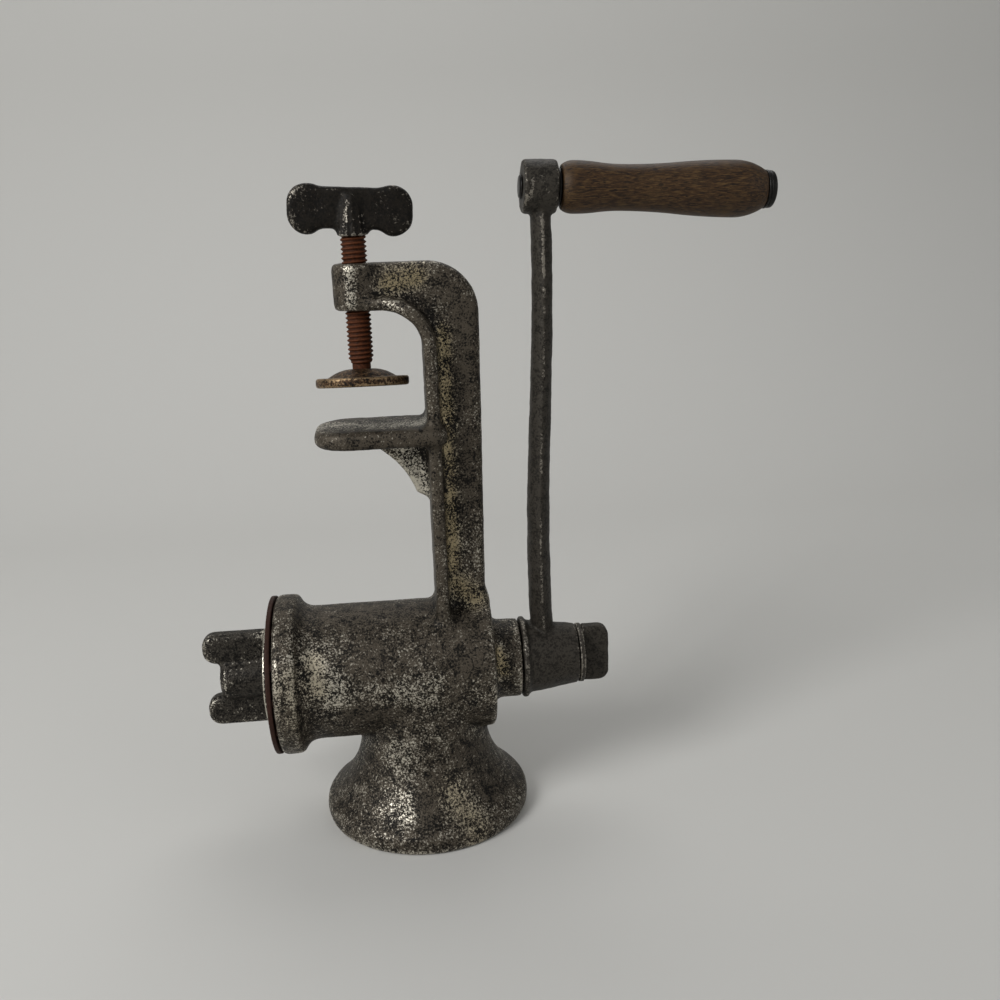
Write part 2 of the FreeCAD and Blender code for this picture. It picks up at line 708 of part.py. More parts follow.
def feed_screw():
    """Feed screw: tapered core, left-handed flight, journal, and a driven square at each end."""
    body = new_body("feed_screw", z=axis_level)
    stud_end = nut_seat - S.nut_length + S.nut_notch_depth + S.nut_wall + S.end_play
    core_end = bore_end - S.end_play
    turned(body, "core_profile", [
        (stud_end, 0),
        (hub_face, 0),
        (hub_face, S.journal_radius),
        (core_end, S.journal_radius),
        (core_end, S.core_rear),
        (cutter_back, S.core_front),
        (cutter_back, S.stud_radius),
        (stud_end, S.stud_radius),
    ])
    drive = new_sketch(body, "cutter_drive", "YZ_Plane", lift=cutter_face + S.end_play)
    square_outline(drive, S.drive_square)
    pad(body, drive, S.cutter_thick)
    tang = new_sketch(body, "crank_drive", "YZ_Plane", lift=hub_face - S.overrun)
    square_outline(tang, S.tang_square)
    pad(body, tang, S.tang_length + S.overrun)
    edge_radius = S.bore_radius - S.flight_gap
    flight_front = barrel_front + S.end_play
    run = core_end - flight_front - S.flight_root
    slope = (S.flight_root - S.flight_tip) / 2
    inside = S.core_front / 2
    section = new_sketch(body, "flight_section", "XZ_Plane")
    outline(section, [
        (flight_front, inside),
        (flight_front + S.flight_root, inside),
        (flight_front + S.flight_root - slope, edge_radius),
        (flight_front + slope, edge_radius),
    ])
    flight = body.newObject("PartDesign::AdditiveHelix", "flight")
    flight.Profile = section
    flight.ReferenceAxis = (section, ["H_Axis"])
    flight.Mode = "pitch-height-angle"
    bind(flight, "Pitch", S.flight_pitch)
    bind(flight, "Height", run)
    flight.LeftHanded = True
    tapped = new_sketch(body, "tapped_hole", "YZ_Plane", lift=hub_face + S.tang_length)
    circle(tapped, S.key_shank + S.running_fit)
    reach = key_seat - hub_face - S.tang_length
    pad(body, tapped, S.key_shank_length - reach + S.key_tip_gap, cut=True)
    return body


def cutter_plate():
    """Cutter plate: a disc with a square hole and a ring of radial slots."""
    body = new_body("cutter_plate", z=axis_level)
    disc = new_sketch(body, "cutter_disc", "YZ_Plane", lift=cutter_face)
    circle(disc, S.cutter_radius)
    square_outline(disc, S.drive_square + S.running_fit * 2)
    pad(body, disc, S.cutter_thick)
    slot = new_sketch(body, "cutter_slot", "YZ_Plane", lift=cutter_back)
    half = S.slot_width / 2
    outline(slot, [(-half, S.slot_inner), (half, S.slot_inner), (half, S.slot_outer), (-half, S.slot_outer)])
    cut = pad(body, slot, S.cutter_thick, cut=True)
    ring = body.newObject("PartDesign::PolarPattern", "cutter_slots")
    ring.Originals = [cut]
    ring.Axis = (origin_feature(body, "X_Axis"), [""])
    ring.Angle = FULL_TURN
    bind(ring, "Occurrences", S.slot_count)
    body.Tip = ring
    return body


def flat_ring(label, radius, hole, thick, **place):
    """A plain ring whose axis is its body's X axis, from its origin towards +X."""
    body = new_body(label, **place)
    face = new_sketch(body, label + "_face", "YZ_Plane")
    circle(face, radius)
    circle(face, hole)
    pad(body, face, thick)
    return body


def pressure_ring():
    hole = S.stud_radius + S.running_fit
    return flat_ring("pressure_ring", S.collar_ring, hole, S.collar_ring_thick, x=nut_seat, z=axis_level)


def wing_nut():
    """Wing nut: a thick plate with two rounded wings, on a round boss with a blind hole."""
    body = new_body("wing_nut", x=nut_seat, z=axis_level)
    wings = new_sketch(body, "wing_outline", "XZ_Plane")
    half = S.nut_span / 2
    gap = S.nut_notch / 2
    tip = -S.nut_length
    floor = tip + S.nut_notch_depth
    curve = S.nut_tip_round
    upper = [
        (tip + curve, half, left(curve)),
        (tip, half - curve),
        (tip, gap + curve, left(curve)),
        (tip + curve, gap),
        (floor, gap),
    ]
    lower = [
        (floor, -gap),
        (tip + curve, -gap, left(curve)),
        (tip, -gap - curve),
        (tip, curve - half, left(curve)),
        (tip + curve, -half),
    ]
    outline(wings, [(0, half), *upper, *lower, (0, -half)])
    pad(body, wings, S.nut_thick, symmetric=True)
    side = edge_on("Y", S.nut_thick / 2, -S.nut_thick / 2)
    round_edges(body, S.nut_round, lambda edge: side(edge) and edge.BoundBox.XMin < -SAME_PLACE)
    turned(body, "nut_boss_profile", [
        (floor + S.nut_round, 0),
        (0, 0),
        (0, S.nut_boss),
        (floor + S.nut_round, S.nut_boss),
        (floor, S.nut_boss - S.nut_round),
        (floor, 0),
    ])
    hole = S.stud_radius + S.running_fit
    turned(body, "nut_hole_profile", [
        (floor + S.nut_wall, 0),
        (S.overrun, 0),
        (S.overrun, hole),
        (floor + S.nut_wall, hole),
    ], cut=True)
    return body


def lens_section(body, name, height, centre, thick, width):
    """A section of the crank arm: two arcs that meet in a ridge at its front and at its back."""
    section = new_sketch(body, name, "XY_Plane", x=centre, lift=height)
    half = width / 2
    radius = sweep_radius(half, thick / 2)
    outline(section, [(0, -half, left(radius)), (0, half, left(radius))])
    return section


def crank_arm():
    """Crank: a tapered hub with a square hole, a bowed arm of lens section and an eye."""
    body = new_body("crank_arm", x=hub_face, z=axis_level)
    turned(body, "hub_profile", [
        (0, 0),
        (S.hub_length, 0),
        (S.hub_length, S.hub_end_radius - S.hub_round, left(S.hub_round)),
        (S.hub_length - S.hub_round, S.hub_end_radius),
        (S.hub_bead, S.hub_radius - S.hub_step),
        (S.hub_bead - S.hub_round, S.hub_radius),
        (S.hub_round, S.hub_radius, left(S.hub_round)),
        (0, S.hub_radius - S.hub_round),
    ])
    sections = [
        lens_section(body, name, *station)
        for name, station in (
            ("arm_root", (S.arm_root_rise, S.arm_root_x, S.arm_root_thick, S.arm_root_width)),
            ("arm_middle", (S.arm_middle_rise, S.arm_middle_x, S.arm_middle_thick, S.arm_middle_width)),
            ("arm_upper", (S.arm_upper_rise, S.arm_upper_x, S.arm_upper_thick, S.arm_upper_width)),
            ("arm_end", (S.crank_length, S.eye_x, S.arm_upper_thick, S.arm_upper_width)),
        )
    ]
    arm = body.newObject("PartDesign::AdditiveLoft", "arm")
    arm.Profile = sections[0]
    arm.Sections = sections[1:]
    half = S.eye_length / 2
    handle = {"x": S.eye_x, "y": S.crank_length, "turn": -S.handle_droop}
    turned(body, "eye_profile", [
        (-half, 0),
        (half, 0),
        (half, S.eye_radius - S.eye_round, left(S.eye_round)),
        (half - S.eye_round, S.eye_radius),
        (S.eye_round - half, S.eye_radius, left(S.eye_round)),
        (-half, S.eye_radius - S.eye_round),
    ], **handle)
    hole = S.spindle_radius + S.running_fit
    turned(body, "eye_hole", [
        (-half - S.overrun, 0),
        (half + S.overrun, 0),
        (half + S.overrun, hole),
        (-half - S.overrun, hole),
    ], cut=True, **handle)
    socket = new_sketch(body, "socket", "YZ_Plane", lift=S.tang_length + S.end_play)
    square_outline(socket, S.tang_square + S.running_fit * 2)
    pad(body, socket, S.tang_length + S.end_play + S.overrun, cut=True)
    bolt = new_sketch(body, "bolt_hole", "YZ_Plane", lift=S.hub_length + S.overrun)
    circle(bolt, S.key_shank + S.running_fit)
    pad(body, bolt, S.hub_length, cut=True)
    return body


def crank_ring():
    hole = S.key_shank + S.running_fit
    place = {"x": hub_face + S.hub_length, "z": axis_level}
    return flat_ring("crank_ring", S.crank_ring_radius, hole, S.crank_ring_thick, **place)


key_seat = hub_face + S.hub_length + S.crank_ring_thick


def crank_key():
    """Thumb screw that holds the crank on: a flat blade with rounded corners, and its shank."""
    body = new_body("crank_key", x=key_seat, z=axis_level)
    blade = new_sketch(body, "key_outline", "XZ_Plane")
    half = S.key_span / 2
    corner = S.key_corner
    outline(blade, [
        (0, -half),
        (S.key_length - corner, -half, left(corner)),
        (S.key_length, corner - half),
        (S.key_length, half - corner, left(corner)),
        (S.key_length - corner, half),
        (0, half),
    ])
    pad(body, blade, S.key_thick, symmetric=True)
    side = edge_on("Y", S.key_thick / 2, -S.key_thick / 2)
    round_edges(body, S.key_round, lambda edge: side(edge) and edge.BoundBox.XMax > SAME_PLACE)
    shank = new_sketch(body, "key_shank", "YZ_Plane", lift=-S.key_shank_length)
    circle(shank, S.key_shank)
    pad(body, shank, S.key_shank_length + S.overrun)
    return body


grip_start = S.eye_length / 2 + S.inner_washer_thick + S.grip_play
grip_end = grip_start + S.grip_length
outer_washer_seat = grip_end + S.grip_play


def on_handle(along):
    """Place of a body whose origin lies that far along the drooping handle axis."""
    out = along * cosine(S.handle_droop)
    down = along * sine(S.handle_droop)
    return {"x": handle_x + out, "z": handle_z - down, "turn": S.handle_droop}


def grip_spindle():
    """Spindle of the grip: riveted over the eye at one end, with a domed head at the other."""
    body = new_body("grip_spindle", **on_handle(as_length(0)))
    back = -S.eye_length / 2
    seat = outer_washer_seat + S.outer_washer_thick
    half_dome = S.spindle_head_height / 2
    turned(body, "spindle_profile", [
        (back - S.rivet_height, 0),
        (seat + S.spindle_head_height, 0),
        (seat + S.spindle_head_height, S.spindle_head - half_dome, left(half_dome)),
        (seat + half_dome, S.spindle_head),
        (seat, S.spindle_head),
        (seat, S.spindle_radius),
        (back, S.spindle_radius),
        (back, S.rivet_radius),
        (back - S.rivet_height, S.rivet_radius - S.rivet_height),
    ])
    return body


def inner_grip_washer():
    hole = S.spindle_radius + S.running_fit
    place = on_handle(S.eye_length / 2)
    return flat_ring("inner_grip_washer", S.inner_washer_radius, hole, S.inner_washer_thick, **place)


def outer_grip_washer():
    hole = S.spindle_radius + S.running_fit
    place = on_handle(outer_washer_seat)
    return flat_ring("outer_grip_washer", S.outer_washer_radius, hole, S.outer_washer_thick, **place)


def wooden_grip():
    """Turned wooden grip: a swelling at the eye, a waist and a full belly towards the end."""
    body = new_body("wooden_grip", **on_handle(grip_start))
    crest = (S.grip_crest_run, S.grip_crest_radius)
    waist = (S.grip_waist_run, S.grip_waist_radius)
    belly = (S.grip_belly_run, S.grip_belly_radius)
    start_bend = sweep_radius(S.grip_crest_run, S.grip_crest_radius - S.grip_start_radius)
    end_bend = sweep_radius(S.grip_length - S.grip_belly_run, S.grip_belly_radius - S.grip_end_radius)
    hole = S.spindle_radius + S.grip_play
    turned(body, "grip_profile", [
        (0, hole),
        (0, S.grip_start_radius, right(start_bend)),
        *swelling(crest, waist),
        *swelling(waist, belly),
        (*belly, right(end_bend)),
        (S.grip_length, S.grip_end_radius),
        (S.grip_length, hole),
    ])
    return body


foot_hole_half = (S.foot_crown - S.foot_pocket_depth) / 2
foot_pivot = S.foot_pocket_depth + foot_hole_half
foot_slope = sine(S.foot_tilt) / cosine(S.foot_tilt)


def pressure_foot():
    """Loose foot of the clamp screw: a rimmed disc with a low crown, rocked about its riveted neck."""
    place = {"z": S.foot_lift + foot_pivot, "turn": -S.foot_tilt, "about": X_DIRECTION}
    body = new_body("pressure_foot", **place)
    hole = S.screw_neck / cosine(S.foot_tilt) + foot_hole_half * foot_slope + S.swivel_fit
    turned(body, "foot_profile", [
        (S.foot_pocket_radius, 0),
        (S.foot_radius - S.foot_round, 0, left(S.foot_round)),
        (S.foot_radius, S.foot_round),
        (S.foot_radius, S.foot_rim - S.foot_round, left(S.foot_round)),
        (S.foot_radius - S.foot_round, S.foot_rim),
        (S.foot_crown_base, S.foot_rim, left(S.foot_crown_sweep)),
        (S.foot_crown_top, S.foot_crown),
        (hole, S.foot_crown),
        (hole, S.foot_pocket_depth),
        (S.foot_pocket_radius, S.foot_pocket_depth),
    ], "V_Axis", y=-foot_pivot)
    return body


def clamp_screw():
    """Clamp screw over its thread, with a neck riveted into the foot and a spigot at the top."""
    body = new_body("clamp_screw", z=S.foot_lift)
    rock = foot_hole_half / cosine(S.foot_tilt) + S.screw_peen_radius * foot_slope
    peen_top = foot_pivot - rock - S.swivel_fit
    turned(body, "screw_profile", [
        (0, peen_top - S.screw_peen_height),
        (S.screw_peen_radius, peen_top - S.screw_peen_height),
        (S.screw_peen_radius, peen_top),
        (S.screw_neck, peen_top),
        (S.screw_neck, S.screw_thread_start - S.screw_taper),
        (S.screw_radius, S.screw_thread_start),
        (S.screw_radius, S.screw_length),
        (S.screw_spigot, S.screw_length),
        (S.screw_spigot, S.screw_length + S.screw_spigot_length),
        (0, S.screw_length + S.screw_spigot_length),
    ], "V_Axis")
    return body


def thumb_plate():
    """Thumb plate of the clamp screw: two broad lobes and a collar round the screw's end."""
    body = new_body("thumb_plate", z=S.foot_lift + S.screw_length)
    plate = new_sketch(body, "plate_outline", "XZ_Plane", x=-S.plate_shift, turn=-S.plate_lean)
    half = S.plate_span / 2
    lobe = S.plate_lobe
    crown = half - lobe
    waist = S.plate_waist_offset
    reach = crown - waist
    top_mid = (crown + waist) / 2
    bottom_bend = (square(reach) + square(S.plate_bottom_dip)) / (S.plate_bottom_dip * 4)
    top_dip_bend = (square(reach) + square(S.plate_top_dip)) / (S.plate_top_dip * 4)
    high = S.plate_height
    top = high - S.plate_top_dip
    right_side = [
        (waist, S.plate_bottom_dip, right(bottom_bend)),
        (top_mid, S.plate_bottom_dip / 2, left(bottom_bend)),
        (crown, 0, left(lobe)),
        (half, lobe),
        (half, high - lobe, left(lobe)),
        (crown, high, left(top_dip_bend)),
        (top_mid, high - S.plate_top_dip / 2, right(top_dip_bend)),
        (waist, top),
    ]
    left_side = [
        (-waist, top, right(top_dip_bend)),
        (-top_mid, high - S.plate_top_dip / 2, left(top_dip_bend)),
        (-crown, high, left(lobe)),
        (-half, high - lobe),
        (-half, lobe, left(lobe)),
        (-crown, 0, left(bottom_bend)),
        (-top_mid, S.plate_bottom_dip / 2, right(bottom_bend)),
        (-waist, S.plate_bottom_dip),
    ]
    outline(plate, right_side + left_side)
    pad(body, plate, S.plate_thick, symmetric=True)
    round_edges(body, S.plate_round, edge_on("Y", S.plate_thick / 2, -S.plate_thick / 2))
    turned(body, "plate_collar", [
        (0, 0),
        (S.plate_collar_base, 0),
        (S.plate_collar_top, S.plate_collar_height),
        (0, S.plate_collar_height),
    ], "V_Axis")
    hole = S.screw_spigot + S.running_fit
    turned(body, "spigot_hole", [
        (0, -S.overrun),
        (hole, -S.overrun),
        (hole, S.screw_spigot_length + S.running_fit),
        (0, S.screw_spigot_length + S.running_fit),
    ], "V_Axis", cut=True)
    return body


def check_document():
    """Stop if any object of the document failed to compute."""
    for item in doc.Objects:
        if {"Invalid", "Error"} & set(item.State):
            raise RuntimeError(f"{item.Name} did not compute: {item.State}")


def export(pieces):
    for piece in pieces:
        if piece.Shape.isNull() or not piece.Shape.isValid() or not piece.Shape.Solids:
            raise RuntimeError(f"{piece.Label} has no valid solid")
    os.makedirs("parts", exist_ok=True)
    for piece in pieces:
        piece.Shape.exportStep(f"parts/{piece.Label}.step")
        print(f"{piece.Label}: {len(piece.Shape.Solids)} solid, {piece.Shape.Volume / 1000:.2f} cm3")


def build():
    pieces = [
        grinder_body(),
        feed_screw(),
        cutter_plate(),
        pressure_ring(),
        wing_nut(),
        crank_arm(),
        crank_ring(),
        crank_key(),
        grip_spindle(),
        inner_grip_washer(),
        wooden_grip(),
        outer_grip_washer(),
        pressure_foot(),
        clamp_screw(),
        thumb_plate(),
    ]
    doc.recompute()
    check_document()
    export(pieces)


build()
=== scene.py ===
import json
import math

import bpy
import numpy as np
from bpy.props import FloatProperty, FloatVectorProperty, IntProperty, PointerProperty
from mathutils import Euler, Matrix, Vector


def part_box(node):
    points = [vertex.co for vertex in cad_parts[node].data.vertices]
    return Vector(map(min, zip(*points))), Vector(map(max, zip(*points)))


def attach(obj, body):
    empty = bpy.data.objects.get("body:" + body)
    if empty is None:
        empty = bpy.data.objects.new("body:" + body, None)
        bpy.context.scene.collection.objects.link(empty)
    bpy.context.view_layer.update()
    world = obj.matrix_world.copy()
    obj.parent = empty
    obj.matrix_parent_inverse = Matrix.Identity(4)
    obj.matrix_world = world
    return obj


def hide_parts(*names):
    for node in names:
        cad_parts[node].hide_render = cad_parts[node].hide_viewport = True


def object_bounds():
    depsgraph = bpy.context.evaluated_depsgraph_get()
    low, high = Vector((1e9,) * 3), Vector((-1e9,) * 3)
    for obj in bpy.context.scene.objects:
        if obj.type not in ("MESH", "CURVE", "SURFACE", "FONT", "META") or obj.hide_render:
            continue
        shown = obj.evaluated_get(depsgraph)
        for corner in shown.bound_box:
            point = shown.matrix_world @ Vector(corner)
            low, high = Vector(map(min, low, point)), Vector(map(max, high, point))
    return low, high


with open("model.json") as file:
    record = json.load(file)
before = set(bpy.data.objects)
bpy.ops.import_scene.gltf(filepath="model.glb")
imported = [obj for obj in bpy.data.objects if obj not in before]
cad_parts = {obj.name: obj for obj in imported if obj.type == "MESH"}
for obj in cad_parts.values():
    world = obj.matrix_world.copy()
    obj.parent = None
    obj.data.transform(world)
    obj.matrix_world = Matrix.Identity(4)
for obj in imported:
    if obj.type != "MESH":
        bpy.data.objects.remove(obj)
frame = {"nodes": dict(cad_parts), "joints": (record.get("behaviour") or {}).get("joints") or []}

bl_info = {
    "name": "Meat Grinder Looks",
    "version": (1, 0, 0),
    "blender": (4, 5, 0),
    "location": "View3D > Sidebar > Grinder",
    "description": "Gives the solids of a hand crank meat grinder their cast, rusty and wooden looks",
    "category": "Object",
}

MM = 0.001
CAD_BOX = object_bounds()
NODES = frame["nodes"]
JOINTS = {joint["name"]: joint for joint in frame["joints"]}

# Loose triangles whose corners are closer than this share a corner.
SAME_PLACE = 0.002 * MM

# A piece keeps under this many triangles.
MOST_TRIANGLES = 190_000

# Texture value that leaves a cast surface in place. It is high, so that most lumps sink into the solid.
SUNK_LEVEL = 0.7

# Range of heights from a hollow to a worn edge, as a share of the mesh size, on castings and threads.
CAST_EDGE = 0.25
THREAD_EDGE = 0.35

# A spot whose squared length in millimetres is less than this is round.
ROUND_SPOT = 1e-6

# Sockets of a Mix node that mixes colours.
FACTOR = 0
FIRST_COLOUR = 6
SECOND_COLOUR = 7
MIXED_COLOUR = 2


def linear(code):
    """Linear red, green, blue and alpha of an sRGB hex colour."""
    channels = [int(code[start:start + 2], 16) / 255 for start in (1, 3, 5)]
    return (*(c / 12.92 if c <= 0.04045 else ((c + 0.055) / 1.055) ** 2.4 for c in channels), 1.0)


def colour(name, description, code):
    """A colour setting, with its default as an sRGB hex colour."""
    return FloatVectorProperty(
        name=name, description=description, default=linear(code),
        subtype="COLOR", size=4, min=0, max=1,
    )


def length(name, description, millimetres):
    """A length setting, with its default in millimetres."""
    return FloatProperty(
        name=name, description=description, default=millimetres * MM, unit="LENGTH", precision=5
    )


def power(name, description, watts):
    """A light's power setting, with its default in watts."""
    return FloatProperty(name=name, description=description, default=watts, unit="POWER")


class CastSizes(bpy.types.PropertyGroup):
    """Sizes of the cast surfaces."""

    grid: length("Grid", "Mesh size of the body's skin", 0.9)
    fillet: length("Fillet", "Radius of the body's inner corners", 1.5)
    small_grid: length("Small grid", "Mesh size of the small castings' skin", 0.45)
    small_fillet: length("Small fillet", "Radius of the small castings' inner corners", 1.2)
    crank_grid: length("Crank grid", "Mesh size of the crank's skin", 0.55)
    lump_size: length("Lump size", "Width of the lumps left by the sand mould", 7.0)
    lump_height: length("Lump height", "Height of those lumps", 0.16)
    grain_size: length("Grain size", "Width of the sand's own grain", 1.5)
    grain_height: length("Grain height", "Height of that grain", 0.07)


class ScrewSizes(bpy.types.PropertyGroup):
    """Sizes of the clamp screw's thread."""

    pitch: length("Pitch", "Rise of the thread in one turn", 1.814)
    crest: length("Crest", "Radius over the thread", 5.25)
    root: length("Root", "Radius at the bottom of the thread", 4.25)
    start: length("Start", "Height at which the thread has its full radius", 28.0)
    taper: length("Taper", "Length over which the thread runs out", 2.0)
    grid: length("Grid", "Mesh size of the screw", 0.2)
    steps: IntProperty(
        name="Steps", description="Segments in one turn of the thread", default=64, min=12
    )


class Finishes(bpy.types.PropertyGroup):
    """Colours of the metals and the wood."""

    # The pit colour is black dirt, and also the painted shade laid into the hollows.
    pit: colour("Pits", "Black dirt in the pits of the casting", "#0E0C09")
    iron: colour("Iron", "Bare iron of the body", "#4D463C")
    # Tin also paints the highlights on the hopper's front, the boss's front, the jaw's top and the
    # hopper's lip.
    tin: colour("Tin", "Tin left on the body", "#C4BEAF")
    tallow: colour("Tallow", "Old fat dried on the tin", "#A59778")
    crank_iron: colour("Crank iron", "Bare iron of the crank and the front end", "#3C3832")
    # Rubbed iron also paints the highlights on the crank's eye and ridge and on the thumb plate's
    # collar.
    rubbed_iron_and_highlight: colour("Rubbed iron", "Iron rubbed bright on the crank and thumb plate", "#8A847A")
    black_iron: colour("Black iron", "Blackened iron of the thumb plate", "#1C1813")
    foot_iron: colour("Foot iron", "Brown patina of the pressure foot", "#4A3523")
    foot_edge: colour("Foot edge", "Patina rubbed pale on the foot's edge", "#937C5F")
    rust: colour("Rust", "Rust on the crests of the thread", "#653820")
    deep_rust: colour("Deep rust", "Rust in the thread's roots and the cutter's pits", "#170D08")
    cutter_rust: colour("Cutter rust", "Rust on the cutter plate", "#38221A")
    wood: colour("Wood", "Ground of the grip", "#3E2B18")
    wood_pore: colour("Wood pores", "Dark pores of the grip", "#1C120A")
    wood_scuff: colour("Wood scuffs", "Pale scuffs on the grip", "#604A2C")
    steel: colour("Steel", "Blackened steel of the spindle and washers", "#1B1917")
    soot: colour("Soot", "Blackest parts of that steel", "#0D0C0B")
    dust: colour("Dust", "Dust on that steel", "#4A443D")


class StageSizes(bpy.types.PropertyGroup):
    """The studio and the camera."""

    floor: colour("Floor", "Paint of the floor and the backdrop", "#C9C8C4")
    key_power: power("Key light", "Power of the light from the front left", 15.0)
    fill_power: power("Fill light", "Power of the light from the front right", 1.6)
    back_power: power("Back light", "Power of the light from behind", 4.5)
    sky_colour: colour("Sky colour", "Colour of the even light all round", "#F2F3F4")
    sky: FloatProperty(name="Sky", description="Strength of the even light all round", default=0.33)
    lens: FloatProperty(name="Lens", description="Focal length in millimetres", default=36.0)
    camera: FloatVectorProperty(
        name="Camera",
        description="Place of the camera",
        default=(0.0163, -0.4171, 0.076),
        subtype="TRANSLATION",
    )
    aim: FloatVectorProperty(
        name="Aim",
        description="Camera turned to the right, tipped down and rolled",
        default=[math.radians(angle) for angle in (5.36, 15.0, -1.96)],
        subtype="EULER",
    )


class GrinderSettings(bpy.types.PropertyGroup):
    """All settings of the grinder."""

    cast: PointerProperty(type=CastSizes)
    screw: PointerProperty(type=ScrewSizes)
    finish: PointerProperty(type=Finishes)
    stage: PointerProperty(type=StageSizes)


# Working on a piece as by hand.


def choose(piece):
    """Make this the one selected and active object."""
    bpy.ops.object.select_all(action="DESELECT")
    piece.select_set(True)
    bpy.context.view_layer.objects.active = piece


def copy_solid(node, name):
    """A copy of a solid with its loose triangles merged."""
    piece = bpy.data.objects.new(name, NODES[node].data.copy())
    piece.data.name = name
    piece.data.materials.clear()
    bpy.context.scene.collection.objects.link(piece)
    choose(piece)
    bpy.ops.object.mode_set(mode="EDIT")
    bpy.ops.mesh.select_all(action="SELECT")
    bpy.ops.mesh.remove_doubles(threshold=SAME_PLACE)
    bpy.ops.object.mode_set(mode="OBJECT")
    return piece


def modify(piece, kind, **settings):
    """Add a modifier with these settings and apply it."""
    choose(piece)
    bpy.ops.object.modifier_add(type=kind)
    modifier = piece.modifiers[-1]
    for name, value in settings.items():
        setattr(modifier, name, value)
    bpy.ops.object.modifier_apply(modifier=modifier.name)


def join(piece, *others):
    """Join the other pieces to this one."""
    choose(piece)
    for other in others:
        other.select_set(True)
    bpy.ops.object.join()


def reskin(piece, grid, soften, fillet=0.0):
    """Rebuild a piece as one even skin, with its inner corners filled and its edges worn soft."""
    modify(piece, "REMESH", mode="VOXEL", voxel_size=grid)
    if fillet:
        for swelling in (fillet, -fillet):
            modify(piece, "DISPLACE", strength=swelling, mid_level=0)
            modify(piece, "REMESH", mode="VOXEL", voxel_size=grid)
    modify(piece, "SMOOTH", factor=0.5, iterations=soften)


def roughen(piece, size, height):
    """Sink an uneven cast surface into a piece, with lumps of that size and height."""
    texture = bpy.data.textures.new(piece.name + "_lumps", "CLOUDS")
    texture.noise_scale = size
    texture.noise_depth = 1
    modify(
        piece, "DISPLACE", texture=texture, texture_coords="LOCAL",
        strength=2 * height, mid_level=SUNK_LEVEL,
    )
    bpy.data.textures.remove(texture)


def thin(piece):
    """Collapse faces until the piece keeps to its share of triangles."""
    triangles = sum(len(face.vertices) - 2 for face in piece.data.polygons)
    if triangles > MOST_TRIANGLES:
        modify(piece, "DECIMATE", ratio=MOST_TRIANGLES / triangles)


def vertex_values(mesh, name):
    """The place or the normal of each vertex of a mesh."""
    values = np.empty(len(mesh.vertices) * 3, np.float32)
    mesh.vertices.foreach_get(name, values)
    return values.reshape(-1, 3)


def weather(piece, reach, spots=()):
    """Write how a piece has weathered: red for tin left, and for painted highlights in some spots; green
    for dried fat; blue for how far the surface bulges, which brings worn edges with painted highlights,
    and dirt with painted shade in the hollows.

    Reach is the range of heights, against the neighbours, over which blue goes from none in a hollow
    to full on an edge. Each spot runs from a start to a stop, with a radius in millimetres, a channel
    and an amount, which is below zero where the surface is bare.
    """
    mesh = piece.data
    places = vertex_values(mesh, "co")
    normals = vertex_values(mesh, "normal")
    pairs = np.empty(len(mesh.edges) * 2, np.int32)
    mesh.edges.foreach_get("vertices", pairs)
    heads, tails = pairs.reshape(-1, 2).T
    links = np.concatenate([heads, tails])
    others = np.concatenate([tails, heads])
    count = len(places)
    shares = np.maximum(np.bincount(links, minlength=count), 1)

    def spread(values):
        """The mean of the values at each vertex's neighbours."""
        return np.bincount(links, weights=values[others], minlength=count) / shares

    means = np.stack([spread(axis) for axis in places.T], axis=1)
    bulge = ((places - means) * normals).sum(axis=1)
    for _ in range(2):
        bulge = spread(bulge)
    values = np.zeros((count, 4), np.float32)
    values[:, 2] = np.clip(0.5 + bulge / reach, 0, 1)
    values[:, 3] = 1
    for start, stop, radius, channel, amount in spots:
        offset = places / MM - np.array(start)
        run = np.subtract(stop, start)
        along = np.clip(offset @ run / max(run @ run, ROUND_SPOT), 0, 1)
        distance = np.linalg.norm(offset - along[:, None] * run, axis=1)
        values[:, channel] += amount * np.clip(1 - (distance / radius) ** 2, 0, 1)
    layer = mesh.color_attributes.new(name="weathering", type="FLOAT_COLOR", domain="POINT")
    layer.data.foreach_set("color", values.ravel())


def finish_piece(piece, material, body, slot, *nodes):
    """Shade a piece, dress it and let it stand for its nodes on their body."""
    choose(piece)
    bpy.ops.object.shade_smooth()
    piece.data.materials.clear()
    piece.data.materials.append(material)
    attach(piece, body)
    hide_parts(*nodes)


# Materials.


def add(tree, kind, inputs=None, out=None, stops=None, **settings):
    """Add a node with its settings, values and links; returns the named output, or the node."""
    node = tree.nodes.new(kind)
    for name, value in settings.items():
        setattr(node, name, value)
    for name, value in (inputs or {}).items():
        if isinstance(value, bpy.types.NodeSocket):
            tree.links.new(value, node.inputs[name])
        else:
            node.inputs[name].default_value = value
    for index, (place, shade) in enumerate(stops or ()):
        ramp = node.color_ramp.elements
        stop = ramp[index] if index < len(ramp) else ramp.new(place)
        stop.position = place
        stop.color = shade
    return node if out is None else node.outputs[out]


def new_material(name):
    """A material's tree with its shader joined to the output, and the piece's own coordinates."""
    material = bpy.data.materials.new(name)
    material.use_nodes = True
    tree = material.node_tree
    tree.nodes.clear()
    shader = add(tree, "ShaderNodeBsdfPrincipled")
    add(tree, "ShaderNodeOutputMaterial", {"Surface": shader.outputs["BSDF"]})
    place = add(tree, "ShaderNodeTexCoord", out="Object")
    return material, tree, shader, place


# Clusters of specks are this share of a patch wide.
CLUSTER_SHARE = 0.3

# Levels over which a rubbed edge comes to shine, with a painted highlight along it, a pit closes, with
# painted shade in the hollows, and tin comes to show.
RUBBED_AND_HIGHLIT_RANGE = (0.56, 0.8)
PIT_RANGE = (0.83, 0.97)
TIN_RANGE = (0.91, 1.02)

# Bare iron is under dirt, so it is less of a metal than tin is, and rougher.
BARE_METAL = 0.35
BARE_ROUGHNESS = 0.52
TIN_METAL = 0.85


